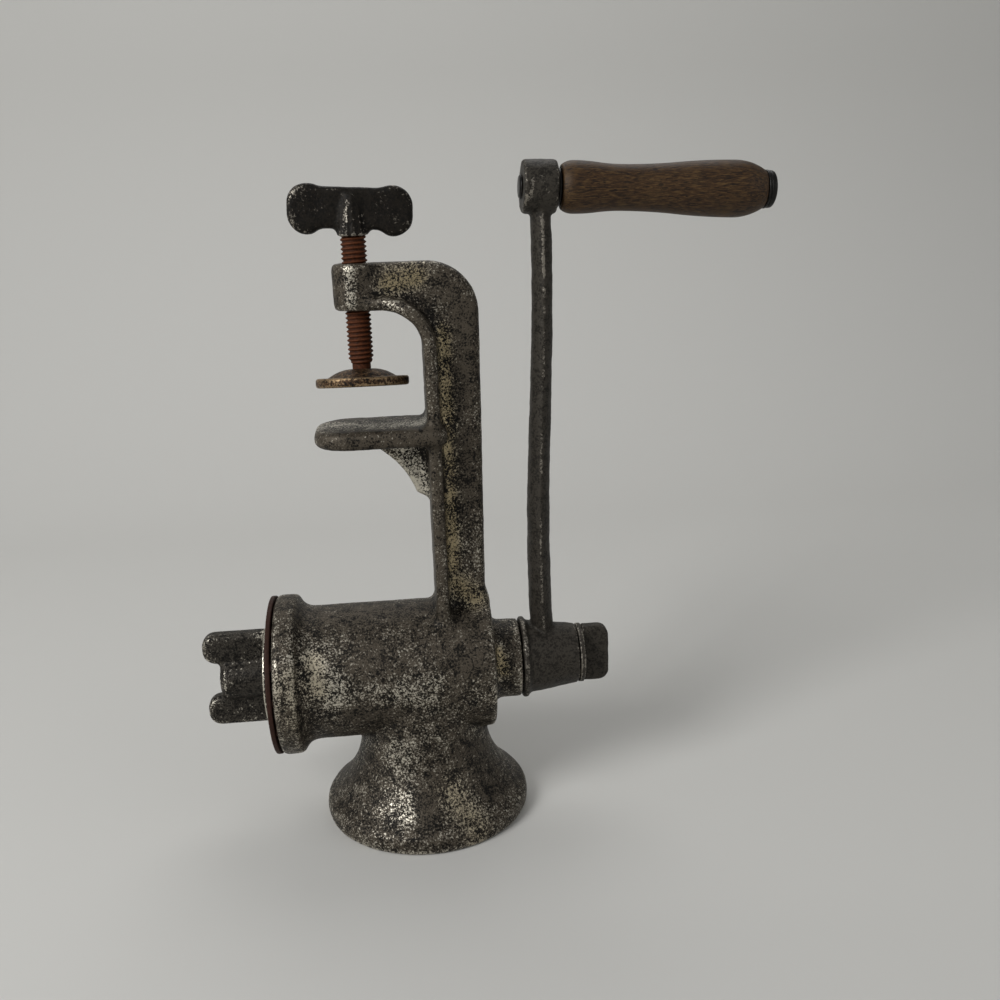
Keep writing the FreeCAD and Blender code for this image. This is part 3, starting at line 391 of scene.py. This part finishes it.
def worn_iron(name, iron, tin, speck, patch, tin_left, gloss=0.36, edge_wear_and_highlight=0.1, dirt=1.0):
    """Tinned cast iron, sand cast and worn through.

    Bright tin is left in specks, thick in some patches and gone in others; the pits between hold black
    dirt, and painted shade darkens the hollows; tin soaked in fat has turned tan. Edges that hands rub
    shine, with a painted highlight along them. On pieces that have no tin, the bright specks are rubbed
    metal, and some are painted highlights.
    """
    finish = bpy.context.scene.grinder.finish
    material, tree, shader, place = new_material(name)
    state = add(tree, "ShaderNodeAttribute", attribute_name="weathering", out="Color")
    state = add(tree, "ShaderNodeSeparateColor", {"Color": state})
    patches, clusters, specks = (
        add(
            tree, "ShaderNodeTexNoise",
            {"Vector": place, "Scale": 1 / size, "Detail": 3, "Roughness": 0.62, "Distortion": 0.6},
            out="Fac",
        )
        for size in (patch, CLUSTER_SHARE * patch, speck)
    )
    # Rubbed edges: wear, and a painted highlight along each edge.
    rubbed = add(
        tree, "ShaderNodeMapRange",
        {"Value": state.outputs["Blue"], "From Min": RUBBED_AND_HIGHLIT_RANGE[0], "From Max": RUBBED_AND_HIGHLIT_RANGE[1]},
        out="Result",
    )
    # Tin is left where these together are high; the rubbed edges and some of the weathering's red spots
    # raise it as a painted highlight.
    level = specks
    for source, weight in (
        (patches, 0.3),
        (clusters, 0.3),
        (state.outputs["Red"], 0.12),
        (state.outputs["Green"], 0.12),
        (rubbed, edge_wear_and_highlight),
    ):
        level = add(
            tree, "ShaderNodeMath", {0: source, 1: weight, 2: level}, "Value", operation="MULTIPLY_ADD"
        )
    # Dirt lies where these together are low, and the blue term also lays painted shade into the hollows;
    # dirt sets how dark both get.
    relief = specks
    for source, weight in ((clusters, 0.6), (state.outputs["Blue"], 0.25)):
        relief = add(
            tree, "ShaderNodeMath", {0: source, 1: weight, 2: relief}, "Value", operation="MULTIPLY_ADD"
        )
    pits = add(
        tree, "ShaderNodeMapRange",
        {"Value": relief, "From Min": PIT_RANGE[0], "From Max": PIT_RANGE[1], "To Min": 1 - dirt},
        out="Result",
    )
    shine = add(
        tree, "ShaderNodeMapRange",
        {"Value": level, "From Min": TIN_RANGE[0] - tin_left, "From Max": TIN_RANGE[1] - tin_left},
        out="Result",
    )
    ground = add(
        tree, "ShaderNodeMix",
        {FACTOR: pits, FIRST_COLOUR: finish.pit, SECOND_COLOUR: iron}, MIXED_COLOUR, data_type="RGBA",
    )
    coat = add(
        tree, "ShaderNodeMix",
        {FACTOR: state.outputs["Green"], FIRST_COLOUR: tin, SECOND_COLOUR: finish.tallow},
        MIXED_COLOUR, data_type="RGBA",
    )
    surface = add(
        tree, "ShaderNodeMix",
        {FACTOR: shine, FIRST_COLOUR: ground, SECOND_COLOUR: coat}, MIXED_COLOUR, data_type="RGBA",
    )
    tree.links.new(surface, shader.inputs["Base Color"])
    metal = add(
        tree, "ShaderNodeMapRange",
        {"Value": shine, "To Min": BARE_METAL, "To Max": TIN_METAL}, out="Result",
    )
    tree.links.new(metal, shader.inputs["Metallic"])
    rough = add(
        tree, "ShaderNodeMapRange",
        {"Value": shine, "To Min": BARE_ROUGHNESS, "To Max": gloss}, out="Result",
    )
    tree.links.new(rough, shader.inputs["Roughness"])
    shader.inputs["Specular IOR Level"].default_value = 0.2
    bump = add(
        tree, "ShaderNodeBump", {"Height": specks, "Strength": 0.7, "Distance": 0.25 * MM}, out="Normal"
    )
    tree.links.new(bump, shader.inputs["Normal"])
    return material


def rusty_steel(name, rust, deep_rust, grain):
    """Steel under an even coat of rust: dull, red-brown on crests and nearly black in the roots."""
    material, tree, shader, place = new_material(name)
    state = add(tree, "ShaderNodeAttribute", attribute_name="weathering", out="Color")
    state = add(tree, "ShaderNodeSeparateColor", {"Color": state})
    flakes = add(
        tree, "ShaderNodeTexNoise",
        {"Vector": place, "Scale": 1 / grain, "Detail": 4, "Roughness": 0.65}, out="Fac",
    )
    level = add(
        tree, "ShaderNodeMath", {0: state.outputs["Blue"], 1: 0.9, 2: flakes}, "Value",
        operation="MULTIPLY_ADD",
    )
    level = add(
        tree, "ShaderNodeMapRange", {"Value": level, "From Min": 0.6, "From Max": 1.3}, out="Result"
    )
    surface = add(
        tree, "ShaderNodeMix",
        {FACTOR: level, FIRST_COLOUR: deep_rust, SECOND_COLOUR: rust}, MIXED_COLOUR, data_type="RGBA",
    )
    tree.links.new(surface, shader.inputs["Base Color"])
    shader.inputs["Metallic"].default_value = 0.15
    shader.inputs["Specular IOR Level"].default_value = 0.2
    shader.inputs["Roughness"].default_value = 0.62
    bump = add(
        tree, "ShaderNodeBump", {"Height": flakes, "Strength": 0.5, "Distance": 0.15 * MM}, out="Normal"
    )
    tree.links.new(bump, shader.inputs["Normal"])
    return material


def blackened_steel(name, soot, steel, dust, grain):
    """Turned steel gone black with age: a dark sheen, sooty in places and dull with dust in others."""
    material, tree, shader, place = new_material(name)
    grime = add(
        tree, "ShaderNodeTexNoise",
        {"Vector": place, "Scale": 1 / grain, "Detail": 4, "Roughness": 0.6}, out="Fac",
    )
    surface = add(
        tree, "ShaderNodeValToRGB", {"Fac": grime}, "Color",
        stops=((0.35, soot), (0.6, steel), (0.78, dust)),
    )
    tree.links.new(surface, shader.inputs["Base Color"])
    shader.inputs["Metallic"].default_value = 0.6
    rough = add(
        tree, "ShaderNodeMapRange", {"Value": grime, "To Min": 0.25, "To Max": 0.55}, out="Result"
    )
    tree.links.new(rough, shader.inputs["Roughness"])
    return material


# Widths of the wood's figure, of its pores and of the scuffs on it, and how the first two are drawn
# out along the grip. Real pores are too fine to show, so these are drawn coarser.
WOOD_FIGURE = 0.6 * MM
WOOD_PORE = 0.55 * MM
WOOD_SCUFF = 9 * MM
WOOD_DRAW = (0.16, 1, 1)


def dark_hardwood(name, ground, pore, scuff, droop):
    """Turned hardwood darkened by hands: fine grain along the grip, dark pores and pale scuffs.

    Droop is the angle by which the grip hangs below the level.
    """
    material, tree, shader, place = new_material(name)
    lying = add(
        tree, "ShaderNodeMapping",
        {"Vector": place, "Rotation": (0, -droop, 0), "Scale": WOOD_DRAW}, out="Vector",
    )
    grain = add(
        tree, "ShaderNodeTexNoise",
        {"Vector": lying, "Scale": 1 / WOOD_FIGURE, "Detail": 6, "Roughness": 0.62, "Distortion": 0.4},
        out="Fac",
    )
    pores = add(
        tree, "ShaderNodeTexNoise",
        {"Vector": lying, "Scale": 1 / WOOD_PORE, "Detail": 2, "Roughness": 0.5}, out="Fac",
    )
    rubs = add(
        tree, "ShaderNodeTexNoise",
        {"Vector": place, "Scale": 1 / WOOD_SCUFF, "Detail": 5, "Roughness": 0.7}, out="Fac",
    )
    body = add(
        tree, "ShaderNodeValToRGB", {"Fac": grain}, "Color",
        stops=((0.3, pore), (0.52, ground), (0.75, scuff)),
    )
    open_pores = add(
        tree, "ShaderNodeMapRange", {"Value": pores, "From Min": 0.36, "From Max": 0.46}, out="Result"
    )
    body = add(
        tree, "ShaderNodeMix",
        {FACTOR: open_pores, FIRST_COLOUR: pore, SECOND_COLOUR: body}, MIXED_COLOUR, data_type="RGBA",
    )
    worn = add(
        tree, "ShaderNodeMapRange",
        {"Value": rubs, "From Min": 0.5, "From Max": 0.8, "To Max": 0.45}, out="Result",
    )
    body = add(
        tree, "ShaderNodeMix",
        {FACTOR: worn, FIRST_COLOUR: body, SECOND_COLOUR: scuff}, MIXED_COLOUR, data_type="RGBA",
    )
    tree.links.new(body, shader.inputs["Base Color"])
    shader.inputs["Specular IOR Level"].default_value = 0.25
    rough = add(
        tree, "ShaderNodeMapRange", {"Value": rubs, "To Min": 0.42, "To Max": 0.62}, out="Result"
    )
    tree.links.new(rough, shader.inputs["Roughness"])
    bump = add(
        tree, "ShaderNodeBump",
        {"Height": open_pores, "Strength": 0.35, "Distance": 0.12 * MM}, out="Normal",
    )
    tree.links.new(bump, shader.inputs["Normal"])
    return material


# The pieces.

# Channels of the weathering.
TIN = 0
TALLOW = 1

# Where the body keeps more tin or has lost it, where fat has dried on it, and where bright tin is laid
# in as a painted highlight: from, to, radius in millimetres, channel and amount.
BODY_WEAR_AND_HIGHLIGHTS = (
    # Painted highlight: the glint of the key light on the hopper's front, as bright tin.
    ((8, -27, -141), (7, -34, -161), 11, TIN, 0.7),
    ((-25, -24, -94), (-22, -29, -110), 11, TIN, 0.5),
    ((-28, -26, -94), (-27, -29, -106), 7, TALLOW, 0.5),
    ((-15, -29, -108), (22, -29, -111), 9, TIN, 0.7),
    ((-38, -33, -98), (-38, -31, -120), 8, TALLOW, 0.4),
    # Painted highlight: a bright strip down the front of the boss, as tin.
    ((-2, -10, 64), (-2, -10, 50), 3.5, TIN, 1.5),
    ((0, 0, 64), (0, 0, 50), 16, TIN, -0.9),
    ((17, -4, -14), (22, -4, -28), 7, TIN, 1.4),
    # Tin on the jaw's top, which also paints that face lighter, as if lit from above.
    ((-14, 0, 0), (20, -4, 0), 12, TIN, 0.95),
    ((-18, -18, -4), (24, -20, -5), 8, TIN, -0.8),
    ((15, -34, -158), (17, -36, -164), 7, TIN, -0.8),
    ((36, -22, -91), (34, -26, -97), 11, TIN, -0.7),
    ((-26, -8, -81), (16, -8, -81), 12, TIN, -0.7),
    ((37, -22, -146), (44, -22, -160), 11, TIN, -0.7),
    ((25.5, -17, 40), (25.5, -17, -78), 8, TIN, -0.8),
    ((42, -6.5, -34), (43, -6.5, 44), 8, TIN, -0.5),
    ((36, -6.5, 58), (43, -6.5, 48), 8, TIN, -0.6),
    ((13, -6.5, 58), (24, -6.5, 60), 8, TALLOW, 1.1),
    ((34, -6.5, 38), (33, -6.5, -60), 6, TALLOW, 1.1),
    ((34, -6.5, -70), (42, -6.5, -78), 9, TALLOW, 1.0),
    ((27, -32, -156), (37, -40, -170), 11, TALLOW, 0.7),
    ((50, -16, -101), (53, -17, -108), 6, TALLOW, 1.1),
)

# The lip of the hopper, rubbed bright by what it stands on and given a painted highlight along its
# rolled edge: its centre, radius and height in millimetres, the runs that it is divided into, and the
# radius and amount of each.
LIP_CENTRE = 17.3
LIP_RADIUS = 45.6
LIP_HEIGHT = -176.6
LIP_STEPS = 48
LIP_REACH = 1.6
LIP_TIN_AND_HIGHLIGHT = 0.35


def lip_spots():
    """Short runs of bright tin, worn and painted as a highlight line, that follow the lip of the hopper
    all round.
    """
    turns = [2 * math.pi * step / LIP_STEPS for step in range(LIP_STEPS + 1)]
    ring = [
        (LIP_CENTRE + LIP_RADIUS * math.cos(turn), LIP_RADIUS * math.sin(turn), LIP_HEIGHT)
        for turn in turns
    ]
    return [(start, stop, LIP_REACH, TIN, LIP_TIN_AND_HIGHLIGHT) for start, stop in zip(ring, ring[1:])]


class GRINDER_OT_cast_body(bpy.types.Operator):
    """Cast body: barrel, hopper, column, arm and jaw in one soft-edged skin"""

    bl_idname = "grinder.cast_body"
    bl_label = "Cast Body"

    def execute(self, context):
        settings = context.scene.grinder
        sizes = settings.cast
        piece = copy_solid("grinder_body", "cast_body")
        reskin(piece, sizes.grid, soften=3, fillet=sizes.fillet)
        roughen(piece, sizes.lump_size, sizes.lump_height)
        roughen(piece, sizes.grain_size, sizes.grain_height)
        thin(piece)
        weather(piece, CAST_EDGE * sizes.grid, [*BODY_WEAR_AND_HIGHLIGHTS, *lip_spots()])
        finish = settings.finish
        material = worn_iron(
            "tinned_cast_iron", finish.iron, finish.tin, speck=0.8 * MM, patch=16 * MM, tin_left=0.02
        )
        finish_piece(piece, material, "casting", "casting", "grinder_body")
        return {"FINISHED"}


class GRINDER_OT_front_end(bpy.types.Operator):
    """Front end: cutter plate, pressure ring and wing nut"""

    bl_idname = "grinder.front_end"
    bl_label = "Front End"

    def execute(self, context):
        settings = context.scene.grinder
        sizes = settings.cast
        finish = settings.finish
        # Its rubbed edges paint highlights on the wing nut's lobes.
        tinned = worn_iron(
            "tinned_front_iron", finish.crank_iron, finish.tin,
            speck=0.8 * MM, patch=12 * MM, tin_left=-0.04, gloss=0.26, edge_wear_and_highlight=0.3,
        )
        rusted = rusty_steel(
            "rusted_cutter_steel", finish.cutter_rust, finish.deep_rust, grain=1.4 * MM
        )
        for node, material, body, slot, fillet in (
            ("cutter_plate", rusted, "crank", "cutter_steel", 0.0),
            ("pressure_ring", tinned, "nut_ring", "tinned_iron", 0.0),
            ("wing_nut", tinned, "front_nut", "tinned_iron", sizes.small_fillet),
        ):
            piece = copy_solid(node, "worn_" + node)
            reskin(piece, sizes.small_grid, soften=3, fillet=fillet)
            roughen(piece, sizes.grain_size, sizes.grain_height)
            weather(piece, CAST_EDGE * sizes.small_grid)
            finish_piece(piece, material, body, slot, node)
        return {"FINISHED"}


class GRINDER_OT_feed_screw(bpy.types.Operator):
    """Feed screw: the solid in tinned iron"""

    bl_idname = "grinder.feed_screw"
    bl_label = "Feed Screw"

    def execute(self, context):
        finish = context.scene.grinder.finish
        material = worn_iron(
            "tinned_screw_iron", finish.iron, finish.tin, speck=1.0 * MM, patch=14 * MM, tin_left=0.12
        )
        for slot in NODES["feed_screw"].material_slots:
            slot.material = material
        return {"FINISHED"}


# The crank is lumpier than the body by this factor.
CRANK_LUMPS = 1.6

# Painted highlights on the crank's eye and ridge, laid in as bright rubbed iron, with columns as for the
# body.
CRANK_PAINTED_HIGHLIGHTS = (
    ((72, -10.5, 96), (70.5, -9.6, 88), 1.6, TIN, 2.6),
    ((75, -10, 98), (77, -10, 91), 1.6, TIN, 2.2),
    ((74.5, -6.6, 82), (75.4, -6.6, 58), 1.4, TIN, 1.6),
)


class GRINDER_OT_crank(bpy.types.Operator):
    """Crank: the arm with its hub and eye, the ring and the thumb screw"""

    bl_idname = "grinder.crank"
    bl_label = "Crank"

    def execute(self, context):
        settings = context.scene.grinder
        sizes = settings.cast
        finish = settings.finish
        # Its rubbed edges paint a highlight line down the arm's ridge.
        dark = worn_iron(
            "dark_crank_iron", finish.crank_iron, finish.rubbed_iron_and_highlight,
            speck=0.9 * MM, patch=11 * MM, tin_left=-0.17, gloss=0.34, edge_wear_and_highlight=0.35, dirt=0.7,
        )
        for node, body, grid, spots in (
            ("crank_arm", "crank", sizes.crank_grid, CRANK_PAINTED_HIGHLIGHTS),
            ("crank_ring", "key_ring", sizes.small_grid, ()),
            ("crank_key", "key", sizes.small_grid, ()),
        ):
            piece = copy_solid(node, "worn_" + node)
            reskin(piece, grid, soften=1)
            roughen(piece, sizes.lump_size, CRANK_LUMPS * sizes.lump_height)
            roughen(piece, sizes.grain_size, sizes.grain_height)
            weather(piece, CAST_EDGE * grid, spots)
            finish_piece(piece, dark, body, "crank_iron", node)
        return {"FINISHED"}


# Mesh size of the handle's pieces, as a share of the small castings'.
HANDLE_GRID = 0.8


class GRINDER_OT_handle(bpy.types.Operator):
    """Handle: the wooden grip, its spindle and washers"""

    bl_idname = "grinder.handle"
    bl_label = "Handle"

    def execute(self, context):
        settings = context.scene.grinder
        finish = settings.finish
        grid = HANDLE_GRID * settings.cast.small_grid
        axis = Vector(JOINTS["grip_spin"]["axis"])
        droop = math.atan2(-axis.z, axis.x)
        wood = dark_hardwood("dark_hardwood", finish.wood, finish.wood_pore, finish.wood_scuff, droop)
        steel = blackened_steel(
            "blackened_steel", finish.soot, finish.steel, finish.dust, grain=1.2 * MM
        )
        for node, material, body, slot in (
            ("wooden_grip", wood, "grip", "grip_wood"),
            ("grip_spindle", steel, "crank", "spindle_steel"),
            ("inner_grip_washer", steel, "crank", "spindle_steel"),
            ("outer_grip_washer", steel, "crank", "spindle_steel"),
        ):
            piece = copy_solid(node, "worn_" + node)
            reskin(piece, grid, soften=3)
            finish_piece(piece, material, body, slot, node)
        return {"FINISHED"}


# The thread's outline: how far out and up each side of a tooth runs, as shares of its depth and pitch.
TOOTH = ((1, 0.45), (0, 0.1), (-1, 0.45))

# Turns of the thread that are hidden in the thumb plate.
HIDDEN_TURNS = 3


def turn_down(piece, radius, above):
    """Bring everything above a height in to that radius about the screw's axis."""
    for vertex in piece.data.vertices:
        reach = vertex.co.xy.length
        if vertex.co.z > above and reach > radius:
            vertex.co.xy *= radius / reach


def thread_form(sizes, bottom, top):
    """The thread: one tooth wound up the axis, cut off square at both ends and run out at the lower."""
    turns = math.ceil((top - bottom) / sizes.pitch) + 2
    bpy.ops.object.select_all(action="DESELECT")
    bpy.ops.mesh.primitive_plane_add(
        size=sizes.pitch, location=(sizes.root, 0, bottom - sizes.pitch)
    )
    thread = bpy.context.active_object
    thread.name = "thread"
    bpy.ops.object.transform_apply(location=True, rotation=True, scale=True)
    bpy.ops.object.mode_set(mode="EDIT")
    bpy.ops.mesh.select_all(action="SELECT")
    bpy.ops.mesh.merge(type="CENTER")
    depth = sizes.crest - sizes.root
    for out, up in TOOTH:
        move = Vector((out * depth, 0, up * sizes.pitch))
        bpy.ops.mesh.extrude_region_move(TRANSFORM_OT_translate={"value": move})
    bpy.ops.object.mode_set(mode="OBJECT")
    modify(
        thread, "SCREW", axis="Z", angle=2 * math.pi, screw_offset=sizes.pitch, iterations=turns,
        steps=sizes.steps, render_steps=sizes.steps, use_merge_vertices=True, merge_threshold=SAME_PLACE,
    )
    choose(thread)
    bpy.ops.object.mode_set(mode="EDIT")
    for height, inner, outer in ((bottom, True, False), (top, False, True)):
        bpy.ops.mesh.select_all(action="SELECT")
        bpy.ops.mesh.bisect(
            plane_co=(0, 0, height), plane_no=(0, 0, 1),
            use_fill=True, clear_inner=inner, clear_outer=outer,
        )
    bpy.ops.mesh.select_all(action="SELECT")
    bpy.ops.mesh.normals_make_consistent(inside=False)
    bpy.ops.object.mode_set(mode="OBJECT")
    for vertex in thread.data.vertices:
        limit = sizes.root + depth * min(1, max(0, 1 - (sizes.start - vertex.co.z) / sizes.taper))
        reach = vertex.co.xy.length
        if reach > limit:
            vertex.co.xy *= limit / reach
    return thread


# The ridges on the thumb plate's collar: their turns about the screw in degrees, then the radius at
# the foot and at the top, the length, the middle's place out from the screw and up from the plate's
# foot, and the angle at which they lean in.
RIDGE_TURNS = (-135, -107, -84, -58, 44, 75, 101, 130)
RIDGE_FOOT = 1.1 * MM
RIDGE_TOP = 0.4 * MM
RIDGE_LENGTH = 15 * MM
RIDGE_OUT = 5.5 * MM
RIDGE_UP = 8 * MM
RIDGE_LEAN = math.radians(6)


def collar_ridge(turn):
    """A cast ridge that runs up the thumb plate's collar and into it, at that turn about the screw."""
    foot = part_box("thumb_plate")[0].z
    bpy.ops.object.select_all(action="DESELECT")
    bpy.ops.mesh.primitive_cone_add(
        vertices=12, radius1=RIDGE_FOOT, radius2=RIDGE_TOP, depth=RIDGE_LENGTH,
        location=(RIDGE_OUT, 0, foot + RIDGE_UP), rotation=(0, -RIDGE_LEAN, 0),
    )
    ridge = bpy.context.active_object
    bpy.ops.object.transform_apply(location=True, rotation=True, scale=True)
    bpy.ops.transform.rotate(value=-math.radians(turn), orient_axis="Z", center_override=(0, 0, 0))
    bpy.ops.object.transform_apply(location=True, rotation=True, scale=True)
    return ridge


# Where the thumb plate is bright: painted highlights down the sides of its collar, and wear on the lobes
# that fingers turn, as for the body.
PLATE_WEAR_AND_HIGHLIGHTS = (
    ((-1.2, -4.9, 89), (-3.1, -5.4, 77), 1.7, TIN, 1.8),
    ((4.4, -4.5, 86), (5.4, -4.4, 78), 1.5, TIN, 1.5),
    ((-22.5, -3.5, 91), (-21.5, -3.5, 83), 3.5, TIN, 0.7),
    ((-19, -3.5, 93), (-14, -3.5, 88), 5.0, TIN, 0.7),
    ((11, -3.5, 87), (17, -3.5, 83), 5.0, TIN, 0.7),
)


class GRINDER_OT_clamp(bpy.types.Operator):
    """Clamp: the threaded screw, its thumb plate and its foot"""

    bl_idname = "grinder.clamp"
    bl_label = "Clamp"

    def execute(self, context):
        settings = context.scene.grinder
        self.make_screw(settings)
        self.make_thumb_plate(settings)
        self.make_foot(settings)
        return {"FINISHED"}

    def make_screw(self, settings):
        sizes = settings.screw
        finish = settings.finish
        piece = copy_solid("clamp_screw", "threaded_screw")
        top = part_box("thumb_plate")[0].z + HIDDEN_TURNS * sizes.pitch
        neck = sizes.start - sizes.taper
        turn_down(piece, sizes.root, neck)
        join(piece, thread_form(sizes, neck, top))
        reskin(piece, sizes.grid, soften=2)
        thin(piece)
        weather(piece, THREAD_EDGE * sizes.grid)
        material = rusty_steel("rusted_screw_steel", finish.rust, finish.deep_rust, grain=1.2 * MM)
        finish_piece(piece, material, "clamp_screw", "rusty_steel", "clamp_screw")

    def make_thumb_plate(self, settings):
        sizes = settings.cast
        finish = settings.finish
        piece = copy_solid("thumb_plate", "worn_thumb_plate")
        join(piece, *(collar_ridge(turn) for turn in RIDGE_TURNS))
        reskin(piece, sizes.small_grid, soften=3, fillet=sizes.small_fillet)
        roughen(piece, sizes.lump_size, sizes.lump_height)
        roughen(piece, sizes.grain_size, sizes.grain_height)
        weather(piece, CAST_EDGE * sizes.small_grid, PLATE_WEAR_AND_HIGHLIGHTS)
        material = worn_iron(
            "black_cast_iron", finish.black_iron, finish.rubbed_iron_and_highlight,
            speck=0.9 * MM, patch=9 * MM, tin_left=-0.09, gloss=0.4, edge_wear_and_highlight=0.3,
        )
        finish_piece(piece, material, "clamp_screw", "dark_iron", "thumb_plate")

    def make_foot(self, settings):
        sizes = settings.cast
        finish = settings.finish
        piece = copy_solid("pressure_foot", "worn_pressure_foot")
        reskin(piece, sizes.small_grid, soften=3)
        roughen(piece, sizes.grain_size, sizes.grain_height)
        weather(piece, CAST_EDGE * sizes.small_grid)
        material = worn_iron(
            "brown_cast_iron", finish.foot_iron, finish.foot_edge,
            speck=0.9 * MM, patch=8 * MM, tin_left=0.04, gloss=0.45, edge_wear_and_highlight=0.25,
        )
        finish_piece(piece, material, "clamp_foot", "foot_iron", "pressure_foot")


# The studio.

# The floor in metres: its width, how far behind the object it turns up into a wall, the wall's height,
# the bend between them, and how near a corner must be to lie on an edge.
FLOOR_WIDTH = 16.0
WALL_PLACE = 0.9
WALL_HEIGHT = 3.0
BEND = 0.45
BEND_STEPS = 24
NEAR = 0.01

# The lights: name, place and width in metres, and the setting that holds the power.
LIGHTS = (
    ("key_light", (-0.95, -0.8, 0.75), 0.6, "key_power"),
    ("fill_light", (1.1, -0.7, 0.4), 0.9, "fill_power"),
    ("back_light", (0.1, 0.75, 0.9), 0.9, "back_power"),
)

# Width of the camera's sensor, in millimetres.
SENSOR_WIDTH = 36


def plain_paint(name, shade):
    """Matt wall paint, even and without gloss."""
    material, _, shader, _ = new_material(name)
    shader.inputs["Base Color"].default_value = shade
    shader.inputs["Roughness"].default_value = 0.8
    return material


def area_light(name, place, target, width, watts):
    """A soft square light that faces the target."""
    bpy.ops.object.select_all(action="DESELECT")
    bpy.ops.object.light_add(type="AREA", location=place)
    light = bpy.context.active_object
    light.name = name
    light.data.shape = "SQUARE"
    light.data.size = width
    light.data.energy = watts
    light.rotation_euler = (Vector(target) - Vector(place)).to_track_quat("-Z", "Y").to_euler()


class GRINDER_OT_stage(bpy.types.Operator):
    """Stage: a pale floor that sweeps up behind, soft lights and the camera"""

    bl_idname = "grinder.stage"
    bl_label = "Stage"

    def execute(self, context):
        stage = context.scene.grinder.stage
        self.make_floor(stage)
        self.make_lights(context, stage)
        self.make_camera(context, stage)
        return {"FINISHED"}

    def make_floor(self, stage):
        """A square floor whose far edge is drawn up into a wall, with a wide round corner."""
        level = CAD_BOX[0].z
        bpy.ops.object.select_all(action="DESELECT")
        bpy.ops.mesh.primitive_plane_add(
            size=FLOOR_WIDTH, location=(0, WALL_PLACE - FLOOR_WIDTH / 2, level)
        )
        floor = bpy.context.active_object
        floor.name = "floor"
        bpy.ops.object.transform_apply(location=True, rotation=True, scale=True)
        bpy.ops.object.mode_set(mode="EDIT")
        bpy.ops.mesh.select_mode(type="EDGE")
        bpy.ops.mesh.select_all(action="DESELECT")
        bpy.ops.object.mode_set(mode="OBJECT")
        for edge in floor.data.edges:
            corners = [floor.data.vertices[index].co for index in edge.vertices]
            edge.select = all(corner.y > WALL_PLACE - NEAR for corner in corners)
        bpy.ops.object.mode_set(mode="EDIT")
        bpy.ops.mesh.extrude_region_move(TRANSFORM_OT_translate={"value": (0, 0, WALL_HEIGHT)})
        bpy.ops.object.mode_set(mode="OBJECT")
        for edge in floor.data.edges:
            corners = [floor.data.vertices[index].co for index in edge.vertices]
            edge.select = all(
                corner.y > WALL_PLACE - NEAR and corner.z < level + NEAR for corner in corners
            )
        bpy.ops.object.mode_set(mode="EDIT")
        bpy.ops.mesh.bevel(offset=BEND, segments=BEND_STEPS, affect="EDGES")
        bpy.ops.object.mode_set(mode="OBJECT")
        bpy.ops.object.shade_smooth()
        floor.data.materials.append(plain_paint("matt_paint", stage.floor))

    def make_lights(self, context, stage):
        target = (CAD_BOX[0] + CAD_BOX[1]) / 2
        for name, place, width, setting in LIGHTS:
            area_light(name, place, target, width, getattr(stage, setting))
        world = bpy.data.worlds.new("studio")
        world.use_nodes = True
        background = world.node_tree.nodes["Background"]
        background.inputs["Color"].default_value = stage.sky_colour
        background.inputs["Strength"].default_value = stage.sky
        context.scene.world = world
        context.scene.view_settings.view_transform = "Standard"

    def make_camera(self, context, stage):
        yaw, pitch, roll = stage.aim
        bpy.ops.object.select_all(action="DESELECT")
        bpy.ops.object.camera_add(location=stage.camera)
        camera = bpy.context.active_object
        camera.data.sensor_width = SENSOR_WIDTH
        camera.data.lens = stage.lens
        level = Euler((math.pi / 2 - pitch, 0, -yaw), "XYZ").to_matrix()
        camera.rotation_euler = (level @ Matrix.Rotation(roll, 3, "Z")).to_euler()
        context.scene.camera = camera


class GRINDER_PT_looks(bpy.types.Panel):
    """Buttons for the grinder's pieces and its stage"""

    bl_label = "Meat Grinder"
    bl_idname = "GRINDER_PT_looks"
    bl_space_type = "VIEW_3D"
    bl_region_type = "UI"
    bl_category = "Grinder"

    def draw(self, context):
        for operator in OPERATORS:
            self.layout.operator(operator.bl_idname)


OPERATORS = (
    GRINDER_OT_cast_body,
    GRINDER_OT_front_end,
    GRINDER_OT_feed_screw,
    GRINDER_OT_crank,
    GRINDER_OT_handle,
    GRINDER_OT_clamp,
    GRINDER_OT_stage,
)
CLASSES = (CastSizes, ScrewSizes, Finishes, StageSizes, GrinderSettings, *OPERATORS, GRINDER_PT_looks)


def register():
    for item in CLASSES:
        bpy.utils.register_class(item)
    bpy.types.Scene.grinder = PointerProperty(type=GrinderSettings)


def unregister():
    del bpy.types.Scene.grinder
    for item in reversed(CLASSES):
        bpy.utils.unregister_class(item)


def main():
    register()
    bpy.ops.grinder.cast_body()
    bpy.ops.grinder.front_end()
    bpy.ops.grinder.feed_screw()
    bpy.ops.grinder.crank()
    bpy.ops.grinder.handle()
    bpy.ops.grinder.clamp()
    bpy.ops.grinder.stage()


if __name__ == "__main__":
    main()
